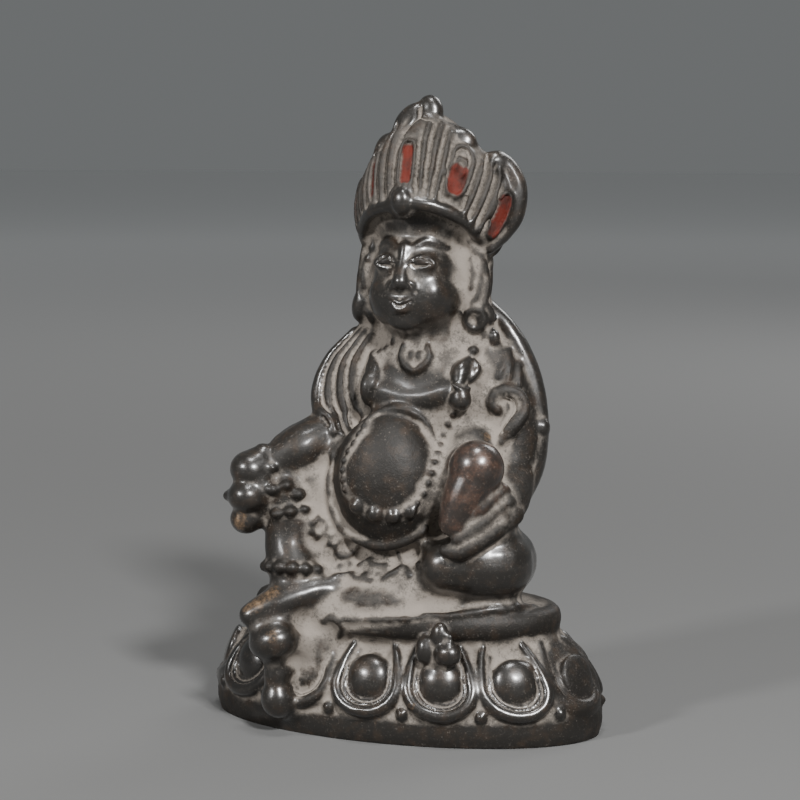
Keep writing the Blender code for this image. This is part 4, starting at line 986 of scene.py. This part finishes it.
# Strips that handling has polished, that are dark, where the dust lies thick, and where the
# gold is left: points along each, and its half-width at each
POLISHED_STRIPS = (
    (
        ((-20.0, -14.0, -18.2), (0.0, -17.6, -18.2), (20.0, -14.0, -18.2), (31.0, -4.0, -18.2)),
        (1.5, 1.6, 1.6, 1.6),
    ),
)
DARK_STRIPS = (
    (((-2.0, -6.6, 34.2), (1.5, -7.0, 33.6), (5.5, -7.0, 33.8), (8.2, -6.2, 35.0)), (2.6, 3.0, 2.8, 1.6)),
    (((-5.0, -6.0, 31.6), (-3.4, -7.6, 31.0)), (2.0, 1.8)),
    (((0.0, -9.4, 29.0), (2.4, -9.2, 29.3), (4.8, -8.6, 28.6)), (1.1, 1.3, 1.1)),
    (
        ((-6.4, -9.6, 26.0), (-8.0, -10.2, 21.5), (-7.4, -11.0, 17.0), (-4.8, -12.4, 13.6)),
        (0.8, 1.4, 2.0, 2.2),
    ),
    (
        ((-4.8, -12.4, 13.6), (-1.0, -13.2, 12.2), (3.0, -12.6, 12.2), (6.0, -11.4, 13.6)),
        (2.2, 2.2, 2.0, 1.2),
    ),
    (((1.6, -13.2, 22.6), (1.8, -13.2, 22.8)), (5.0, 5.0)),
    (((14.0, -11.6, -2.0), (19.0, -8.8, -1.6), (23.4, -4.6, -1.4), (25.6, 0.0, -1.4)), (1.6, 1.7, 1.7, 1.7)),
    (((6.0, -14.4, -2.6), (10.0, -13.8, -2.4), (14.0, -12.6, -2.0)), (1.3, 1.5, 1.6)),
    (((30.4, -3.0, -8.0), (31.0, 0.0, -14.0), (30.4, 4.0, -10.0)), (4.4, 5.0, 4.4)),
    (((17.6, 0.2, 40.0), (19.6, -0.4, 35.0), (20.6, -1.0, 29.0), (20.2, -3.0, 22.0)), (1.6, 2.2, 2.4, 2.0)),
    (((-15.8, -13.4, 11.6), (-15.6, -14.6, 8.6), (-14.6, -15.4, 5.8)), (2.6, 2.8, 2.2)),
    (((-13.0, -6.6, 26.8), (-16.4, -10.6, 24.2)), (2.6, 2.4)),
    (((-9.6, -6.8, 27.6), (-11.6, -8.0, 24.6)), (2.2, 2.6)),
    (((-15.6, -12.2, 18.6), (-16.4, -12.6, 14.6)), (2.8, 2.4)),
    (((17.4, -1.0, 38.0), (18.8, -2.2, 35.6)), (1.6, 1.6)),
)
DUST_STRIPS = (
    (((-2.6, -8.0, 60.2), (2.0, -8.8, 60.0), (6.4, -7.4, 59.4)), (0.9, 1.1, 1.0)),
    (((16.9, -2.4, 33.8), (18.9, -1.6, 33.4), (19.4, -1.6, 31.2), (17.6, -3.6, 26.6)), (0.9, 0.9, 0.9, 1.2)),
    (((8.6, -14.0, 3.4), (2.0, -14.6, 4.0), (-4.0, -14.0, 4.4)), (1.6, 2.0, 1.8)),
    (((-6.0, -15.2, -0.6), (-1.0, -15.6, 1.2), (4.0, -14.6, 1.8), (8.0, -13.6, 1.8)), (2.2, 2.6, 2.6, 2.0)),
    (((-9.8, -15.8, -5.0), (-9.0, -17.0, -9.0), (-8.6, -17.8, -13.0)), (2.2, 2.4, 2.2)),
    (((11.4, -2.6, 55.0), (12.0, -2.6, 51.0), (12.2, -2.6, 47.6)), (1.8, 1.8, 1.5)),
    (
        ((-4.2, -11.6, 10.0), (-7.6, -9.6, 12.8), (-10.6, -9.0, 17.0), (-11.0, -7.6, 21.0)),
        (1.8, 2.4, 2.6, 2.2),
    ),
)
GOLD_SPOTS = (
    (((-18.4, -20.0, 0.6), (-15.4, -17.6, 2.6)), (1.1, 1.2)),
    (((-21.4, -16.6, 13.8), (-22.2, -16.0, 12.2)), (1.0, 0.9)),
    (((15.6, -4.8, 27.2), (15.9, -4.8, 26.8)), (0.8, 0.8)),
    (((-14.6, -18.4, -14.4), (-14.9, -18.4, -15.2)), (1.0, 1.0)),
    (((-13.9, -21.2, -2.4), (-13.7, -21.4, -3.4)), (0.9, 0.9)),
    (((1.4, -17.6, -15.6), (2.4, -17.8, -16.4)), (0.7, 0.7)),
    (((8.0, -18.2, -13.4), (8.6, -18.4, -15.8)), (0.7, 0.8)),
)


def worn(clay):
    """What handling and dust have done, apart from what follows the shape."""
    strips_by_coat = (
        ("polish", POLISHED_STRIPS),
        ("dark", DARK_STRIPS),
        ("dust", DUST_STRIPS),
        ("gold", GOLD_SPOTS),
    )
    for coat, strips in strips_by_coat:
        for points, radii in strips:
            clay.coat_strip(coat, points, radii)
    clay.coat_strip("dust", circle((2.0, -12.2, 22.6), 6.1, 5.9), [0.9] * 13)


MASSES = (
    *(lotus_wall, moon_disc, foot_bud, trunk, lap, right_arm, left_arm, right_leg, left_leg),
    *(head, cheeks, hair, crown_core, crown_wall),
)
DETAILS = (
    *(lotus_petals, jewels, belly, crumples, rosettes, fruit, left_fingers, mongoose, anklet),
    *(face, ears, crown, locks, scarf, back_of_scarf, ornaments, worn),
)


def place(name, data):
    obj = bpy.data.objects.new(name, data)
    bpy.context.scene.collection.objects.link(obj)
    return obj


def applied(obj):
    """The mesh that an object's modifiers make, in place of the object."""
    graph = bpy.context.evaluated_depsgraph_get()
    data = bpy.data.meshes.new_from_object(obj.evaluated_get(graph))
    bpy.data.objects.remove(obj)
    return data


def melted(clay, voxel, fill, rounds):
    """One smooth skin round everything in the clay, with its corners filled to a depth."""
    rough = place("rough", clay.mesh("rough"))
    for step, move in (("swell", fill), ("shrink", -fill), ("last", 0)):
        remesh = rough.modifiers.new("skin_before_" + step, "REMESH")
        remesh.mode = "VOXEL"
        remesh.voxel_size = voxel
        if move:
            displace = rough.modifiers.new(step, "DISPLACE")
            displace.mid_level = 0
            displace.strength = move
    soften = rough.modifiers.new("soften", "SMOOTH")
    soften.iterations = rounds
    soften.factor = 0.5
    return applied(rough)


class Surface:
    """The points of a mesh as arrays, to be pressed, scored and measured."""

    def __init__(self, data):
        self.data = data
        count = len(data.vertices)
        self.points = np.empty(count * 3)
        data.vertices.foreach_get("co", self.points)
        self.points = self.points.reshape(-1, 3)
        self.normals = np.empty(count * 3)
        data.vertices.foreach_get("normal", self.normals)
        self.normals = self.normals.reshape(-1, 3)
        self.edges = np.empty(len(data.edges) * 2, np.int64)
        data.edges.foreach_get("vertices", self.edges)
        self.edges = self.edges.reshape(-1, 2)
        self.links = np.maximum(np.bincount(self.edges.ravel(), minlength=count), 1)

    def store(self):
        self.data.vertices.foreach_set("co", self.points.ravel())
        self.data.update()

    def spread(self, values, rounds):
        """Values averaged with their neighbours, again and again."""
        first, second = self.edges[:, 0], self.edges[:, 1]
        values = values.reshape(len(values), -1)
        for _ in range(rounds):
            total = np.empty_like(values)
            for column in range(values.shape[1]):
                part = np.bincount(first, values[second, column], len(values))
                total[:, column] = part + np.bincount(second, values[first, column], len(values))
            values = values * 0.4 + total / self.links[:, None] * 0.6
        return values if values.shape[1] > 1 else values[:, 0]

    def hollow(self, rounds):
        """How far each point lies below its surroundings, in metres: negative on a bump."""
        return ((self.spread(self.points, rounds) - self.points) * self.normals).sum(1)

    def covered(self, matrices, soft=0.25):
        """1 inside the ellipsoids, falling to 0 a little outside them."""
        found = np.zeros(len(self.points))
        for matrix in matrices:
            centre = np.array(matrix.translation)
            inner = np.array(matrix.to_3x3())
            reach = np.abs(inner).sum(1) * (COAT_REACH + soft)
            near = np.flatnonzero((np.abs(self.points - centre) < reach).all(1))
            if len(near) == 0:
                continue
            away = np.linalg.norm((self.points[near] - centre) @ np.linalg.inv(inner).T, axis=1)
            found[near] = np.maximum(found[near], np.clip((COAT_REACH + soft - away) / soft, 0, 1))
        return found

    def score(self, strokes):
        """Presses the strokes into the skin, fading at both ends of each."""
        faces = [tuple(face.vertices) for face in self.data.polygons]
        tree = BVHTree.FromPolygons([Vector(point) for point in self.points], faces)
        press = np.zeros(len(self.points))
        for points, width, depth in strokes:
            length = sum((b - a).length for a, b in zip(points, points[1:]))
            count = max(int(length / width * 3), 12)
            line = np.array([tree.find_nearest(point)[0] for point in evenly(points, count)])
            inside = (self.points > line.min(0) - width * 2.5) & (self.points < line.max(0) + width * 2.5)
            near = np.flatnonzero(inside.all(1))
            away = np.linalg.norm(self.points[near, None] - line[None], axis=2)
            share = away.argmin(1) / (count - 1)
            fade = np.clip(np.minimum(share, 1 - share) * 7 + 0.15, 0, 1)
            pressed = depth * fade * np.exp(-((away.min(1) / width) ** 2))
            deeper = np.abs(pressed) > np.abs(press[near])
            press[near[deeper]] = pressed[deeper]
        self.points -= self.normals * press[:, None]

    def grain(self, size, seed):
        """Smooth noise from -1 to 1 with lumps of a size."""
        shift = Vector((seed * 7.3, seed * 3.1, seed * 5.7))
        return np.array([noise.noise(Vector(point) / size + shift) for point in self.points])


def statue_mesh():
    masses = Clay()
    for form in MASSES:
        form(masses)
    base = melted(masses, MASS_VOXEL, MASS_FILL, 4)
    clay = Clay(Skin(base))
    clay.coats = masses.coats
    clay.take(base)
    for form in DETAILS:
        form(clay)
    data = melted(clay, VOXEL, DETAIL_FILL, 2)
    return data, clay


def flat_below(data):
    """Cuts the skin flat at the ground."""
    mesh = bmesh.new()
    mesh.from_mesh(data)
    everything = [*mesh.verts, *mesh.edges, *mesh.faces]
    cut = bmesh.ops.bisect_plane(
        mesh, geom=everything, plane_co=(0, 0, 0), plane_no=(0, 0, -1), clear_outer=True
    )
    rim = [item for item in cut["geom_cut"] if isinstance(item, bmesh.types.BMEdge)]
    bmesh.ops.contextual_create(mesh, geom=rim)
    mesh.to_mesh(data)
    mesh.free()


def fewer(data, count):
    obj = place("dense", data)
    modifier = obj.modifiers.new("fewer", "DECIMATE")
    modifier.ratio = min(count / (2 * len(data.polygons)), 1)
    modifier.use_collapse_triangulate = True
    return applied(obj)


def fit_to_frame(surface):
    """The skin fills the CAD model's box exactly."""
    low, high = surface.points.min(0), surface.points.max(0)
    want_low, want_high = np.array(cad_box[0]), np.array(cad_box[1])
    surface.points = want_low + (surface.points - low) / (high - low) * (want_high - want_low)


def set_attribute(data, name, values):
    layer = data.attributes.new(name, "FLOAT", "POINT")
    layer.data.foreach_set("value", np.ascontiguousarray(values, np.float32))


def build_statue():
    data, clay = statue_mesh()
    flat_below(data)
    dense = Surface(data)
    dense.score(clay.strokes)
    dense.store()
    data = fewer(data, TRIANGLES)
    surface = Surface(data)
    copper = surface.covered(clay.coats["copper"])
    gold = surface.covered(clay.coats["gold"], 0.6)
    dark = surface.covered(clay.coats["dark"], 0.5)
    dust = surface.covered(clay.coats["dust"], 0.5)
    gloss = np.maximum.reduce([surface.covered(clay.coats["polish"]), copper, gold])
    polish = np.maximum(gloss, dark * 1.6)
    polish = polish * (1 - 0.9 * dust) - 0.35 * dust
    heights = surface.points[:, 2]
    # Less dust over the crown: thinner dust, and partly painted shade that darkens it against the top lamp's
    # light
    crown_clean_and_shade = np.clip((heights - at(0, 0, CROWN_FOOT).z) / (4 * UNIT), 0, 1) * (1 - gloss)
    petal_share = np.clip((0.8 * LOTUS_HEIGHT - heights) / (0.25 * LOTUS_HEIGHT), 0, 1)
    polish += CROWN_CLEANER_AND_SHADE * crown_clean_and_shade + PETALS_CLEANER * petal_share
    rough = surface.spread(1 - np.clip(polish, 0, 1), 4)
    lumps = sum(surface.grain(size, start) * share for size, share, start in LUMPS)
    surface.points += surface.normals * (lumps * LUMP_HEIGHT * (1 + rough))[:, None]
    surface.points[:, 2] = np.maximum(surface.points[:, 2], 0)
    fine = np.clip(surface.hollow(5) / FINE_HOLLOW, -1, 1)
    wide = np.clip(surface.hollow(50) / WIDE_HOLLOW, -1, 1)
    fit_to_frame(surface)
    surface.store()
    for name, values, rounds in (
        ("polish", polish, 6),
        ("gloss", gloss * (1 - 0.75 * dark) * (1 - dust), 6),
        ("dust", dust, 6),
        ("copper", copper, 6),
        ("gold", gold, 4),
        ("red", surface.covered(clay.coats["red"], 0.15), 4),
        # Shallower hollows over the crown hold less dust, so its slits stay darker: partly painted shade
        ("fine_hollow", fine * (1 - 0.65 * crown_clean_and_shade), 0),
        ("wide_hollow", wide * (1 - 0.5 * crown_clean_and_shade), 0),
    ):
        set_attribute(data, name, surface.spread(values, rounds))
    for face in data.polygons:
        face.use_smooth = True
    return place("jambhala_casting", data)


class Nodes:
    """Short names for making and linking shader nodes."""

    def __init__(self, tree):
        self.tree = tree
        self.known = {}

    def make(self, kind, inputs, **values):
        made = self.tree.nodes.new(kind)
        for name, value in values.items():
            setattr(made, name, value)
        for name, value in inputs.items():
            self.put(made.inputs[name], value)
        return made

    def put(self, socket, value):
        if hasattr(value, "is_output"):
            self.tree.links.new(value, socket)
        else:
            socket.default_value = value

    def math(self, operation, first, second=0.0, clamp=False):
        inputs = {0: first, 1: second}
        return self.make("ShaderNodeMath", inputs, operation=operation, use_clamp=clamp).outputs[0]

    def sum(self, start, *terms):
        """start plus each known value times its share."""
        total = start
        for name, share in terms:
            total = self.math("ADD", self.math("MULTIPLY", self.known[name], share), total)
        return total

    def ramp(self, value, low, high):
        """0 below low, 1 above high, and smooth between."""
        inputs = {"Value": value, "From Min": low, "From Max": high}
        made = self.make("ShaderNodeMapRange", inputs, interpolation_type="SMOOTHSTEP", clamp=True)
        return made.outputs["Result"]

    def mix(self, share, first, second):
        inputs = {"Factor": share, "A": first, "B": second}
        return self.make("ShaderNodeMix", inputs, data_type="RGBA").outputs["Result"]

    def attribute(self, name):
        return self.make("ShaderNodeAttribute", {}, attribute_name=name).outputs["Fac"]

    def noise(self, size, detail, roughness):
        """Noise from 0 to 1, with lumps of a size in metres."""
        where = self.make("ShaderNodeTexCoord", {}).outputs["Object"]
        inputs = {"Vector": where, "Scale": 1 / size, "Detail": detail, "Roughness": roughness}
        return self.make("ShaderNodeTexNoise", inputs).outputs["Fac"]


# Colours, in linear light
PATINA = (0.0125, 0.0105, 0.0085, 1)
PATINA_BROWN = (0.030, 0.020, 0.013, 1)
DUST_PALE = (0.205, 0.179, 0.153, 1)
DUST_DARK = (0.070, 0.062, 0.054, 1)
COPPER = (0.066, 0.036, 0.024, 1)
COPPER_DARK = (0.021, 0.015, 0.012, 1)
GOLD = (0.20, 0.125, 0.068, 1)
RED_PAINT = (0.092, 0.014, 0.009, 1)
RED_WORN = (0.046, 0.016, 0.013, 1)
# The floor's colour by the statue is painted shade, darker to take back the light that the lamps throw there
FLOOR_NEAR_SHADE = (0.128, 0.128, 0.126, 1)
FLOOR_FAR = (0.96, 0.96, 0.96, 1)
AIR = (0.150, 0.157, 0.159, 1)

# The patina's noises: the size of the lumps in metres, the detail and the roughness of each
NOISES = {"mottle": (0.0020, 4.0, 0.6), "speck": (0.00045, 3.0, 0.65), "pits": (0.00022, 2.0, 0.6)}
ATTRIBUTES = ("polish", "gloss", "copper", "gold", "dust", "fine_hollow", "wide_hollow")

# Each of these is a start, and how much of what is added to it
HOLLOWS_FILLED = (("fine_hollow", -0.45), ("wide_hollow", -0.26))
BARE = (-0.86, ("polish", 0.60), *HOLLOWS_FILLED, ("mottle", 1.1), ("speck", 1.2))
FILLED_PITS = (0.0, ("pits", 0.6), ("speck", 0.4))
GRAIN_OF_DUST = (("mottle", 1.2), ("speck", 1.3), ("pits", 0.6))
PALE_DUST = (-1.13, *GRAIN_OF_DUST, ("fine_hollow", 0.14), ("wide_hollow", 0.18), ("dust", 0.30))
RED_COPPER = (0.0, ("mottle", 0.7), ("speck", 0.3))
RUBBED_GOLD = (-1.20, ("gold", 0.6), ("speck", 1.4), ("mottle", 1.0))
ROUGHNESS = (0.46, ("gloss", -0.18), ("pits", 0.20), ("dust_share", 0.30), ("red", 0.08))
SPECULAR = (0.4, ("red", -0.32), ("dust_share", -0.15))
COAT_ROUGHNESS = (0.15, ("pits", 0.14))
METALLIC = 0.25
BUMP_HEIGHT = (0.0, ("pits", 0.35), ("speck", 0.40), ("mottle", 0.25))
BUMP_STRENGTH = (0.55, ("dust_share", 0.20), ("gloss", -0.28))
BUMP_DEPTH = 0.00016

# Half the floor's width, and how far from the statue its painted shade starts and ends to turn pale
FLOOR_REACH = 6.0
FLOOR_FADE = (0.05, 1.6)

# The lamps: the side, the rise, how far off, the power and the size of each
LAMPS = (
    ("key", 42, 34, 0.60, 6.2, 0.07),
    ("fill", -28, 26, 0.60, 2.9, 0.07),
    ("top", 20, 78, 0.55, 1.4, 0.10),
    ("rim", 160, 40, 0.60, 1.2, 0.25),
)

# The photo's camera: where it looks, from which side, how far off, and its lens in millimetres
CAMERA_AIM = Vector((-0.0008, 0, 0.04128))
CAMERA_SIDE = 22.0
CAMERA_RISE = 6.5
CAMERA_DISTANCE = 0.284
CAMERA_LENS = 100


def new_material(name):
    """A material, the inputs of its shader, and its nodes."""
    material = bpy.data.materials.new(name)
    material.use_nodes = True
    return material, material.node_tree.nodes["Principled BSDF"].inputs, Nodes(material.node_tree)


def bronze_material():
    """Dark handled bronze on the high places, dust in the hollows, and red paint in the crown."""
    material, sockets, nodes = new_material("patinated_bronze")
    known = nodes.known
    for name in ATTRIBUTES:
        known[name] = nodes.attribute(name)
    for name, noise_of in NOISES.items():
        known[name] = nodes.noise(*noise_of)
    known["red"] = nodes.ramp(nodes.attribute("red"), 0.2, 0.9)

    dust_share = nodes.math("SUBTRACT", 1.0, nodes.ramp(nodes.sum(*BARE), 0.06, 1.04), True)
    filled_pits = nodes.math("MULTIPLY", nodes.ramp(nodes.sum(*FILLED_PITS), 0.54, 0.68), 0.42)
    dust_share = nodes.math("MAXIMUM", dust_share, filled_pits)
    dust_share = nodes.math("MULTIPLY", dust_share, nodes.sum(1.0, ("red", -0.93)))
    known["dust_share"] = dust_share

    dust = nodes.mix(nodes.ramp(nodes.sum(*PALE_DUST), 0.16, 0.84), DUST_DARK, DUST_PALE)
    metal = nodes.mix(nodes.ramp(known["mottle"], 0.45, 0.75), PATINA, PATINA_BROWN)
    copper = nodes.mix(nodes.ramp(nodes.sum(*RED_COPPER), 0.42, 0.66), COPPER_DARK, COPPER)
    metal = nodes.mix(known["copper"], metal, copper)
    rubbed = nodes.math("MULTIPLY", nodes.ramp(nodes.sum(*RUBBED_GOLD), 0.20, 1.15), known["gold"])
    metal = nodes.mix(rubbed, metal, GOLD)
    paint = nodes.mix(nodes.ramp(known["mottle"], 0.30, 0.58), RED_WORN, RED_PAINT)
    metal = nodes.mix(known["red"], metal, paint)

    clean = nodes.math("SUBTRACT", 1.0, dust_share)
    bright = nodes.math("MULTIPLY", clean, nodes.math("SUBTRACT", 1.0, known["red"]))
    grain = {
        "Height": nodes.sum(*BUMP_HEIGHT),
        "Strength": nodes.sum(*BUMP_STRENGTH),
        "Distance": BUMP_DEPTH,
    }
    for name, value in (
        ("Base Color", nodes.mix(dust_share, metal, dust)),
        ("Metallic", nodes.math("MULTIPLY", bright, METALLIC)),
        ("Roughness", nodes.sum(*ROUGHNESS)),
        ("Specular IOR Level", nodes.sum(*SPECULAR)),
        ("Coat Weight", nodes.math("MULTIPLY", bright, known["gloss"])),
        ("Coat Roughness", nodes.sum(*COAT_ROUGHNESS)),
        ("Normal", nodes.make("ShaderNodeBump", grain).outputs["Normal"]),
    ):
        nodes.put(sockets[name], value)
    return material


def floor_material():
    """Grey by the statue, as painted shade that takes back the lamps' light there, and as pale as the air
    far off, where the floor meets it.
    """
    material, sockets, nodes = new_material("floor")
    where = nodes.make("ShaderNodeTexCoord", {}).outputs["Object"]
    away = nodes.make("ShaderNodeVectorMath", {0: where}, operation="LENGTH").outputs["Value"]
    nodes.put(sockets["Base Color"], nodes.mix(nodes.ramp(away, *FLOOR_FADE), FLOOR_NEAR_SHADE, FLOOR_FAR))
    nodes.put(sockets["Roughness"], 0.9)
    nodes.put(sockets["Specular IOR Level"], 0.1)
    return material


def studio():
    """A floor with painted shade by the statue and pale far off, and soft light from the front and above."""
    world = bpy.data.worlds.new("studio")
    world.use_nodes = True
    background = world.node_tree.nodes["Background"]
    background.inputs["Color"].default_value = AIR
    background.inputs["Strength"].default_value = 1.0
    bpy.context.scene.world = world

    corners = [(x * FLOOR_REACH, y * FLOOR_REACH, 0) for x, y in ((-1, -1), (1, -1), (1, 1), (-1, 1))]
    floor_mesh = bpy.data.meshes.new("floor")
    floor_mesh.from_pydata(corners, [], [(0, 1, 2, 3)])
    floor = place("floor", floor_mesh)
    floor_mesh.materials.append(floor_material())

    for name, azimuth, elevation, distance, power, size in LAMPS:
        lamp = bpy.data.lights.new(name, "AREA")
        lamp.energy = power
        lamp.size = size
        direction = towards(azimuth, elevation)
        aimed(place(name, lamp), Vector((0, 0, HEIGHT / 2)), direction, distance)


def towards(azimuth, elevation):
    """The direction from the statue to a place round it: azimuth 0 is in front of it."""
    turn, tilt = math.radians(azimuth), math.radians(elevation)
    return Vector((math.sin(turn) * math.cos(tilt), -math.cos(turn) * math.cos(tilt), math.sin(tilt)))


def aimed(obj, aim, direction, distance):
    """Puts a lamp or camera off in a direction, looking back at what it aims at."""
    obj.location = aim + direction * distance
    obj.rotation_euler = direction.to_track_quat("Z", "Y").to_euler()


def camera():
    lens = bpy.data.cameras.new("camera")
    lens.lens = CAMERA_LENS
    lens.clip_start = 0.01
    obj = place("camera", lens)
    aimed(obj, CAMERA_AIM, towards(CAMERA_SIDE, CAMERA_RISE), CAMERA_DISTANCE)
    bpy.context.scene.camera = obj


camera()
studio()
casting = build_statue()
casting.data.materials.append(bronze_material())
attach(casting, "root")
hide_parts("jambhala_statue")
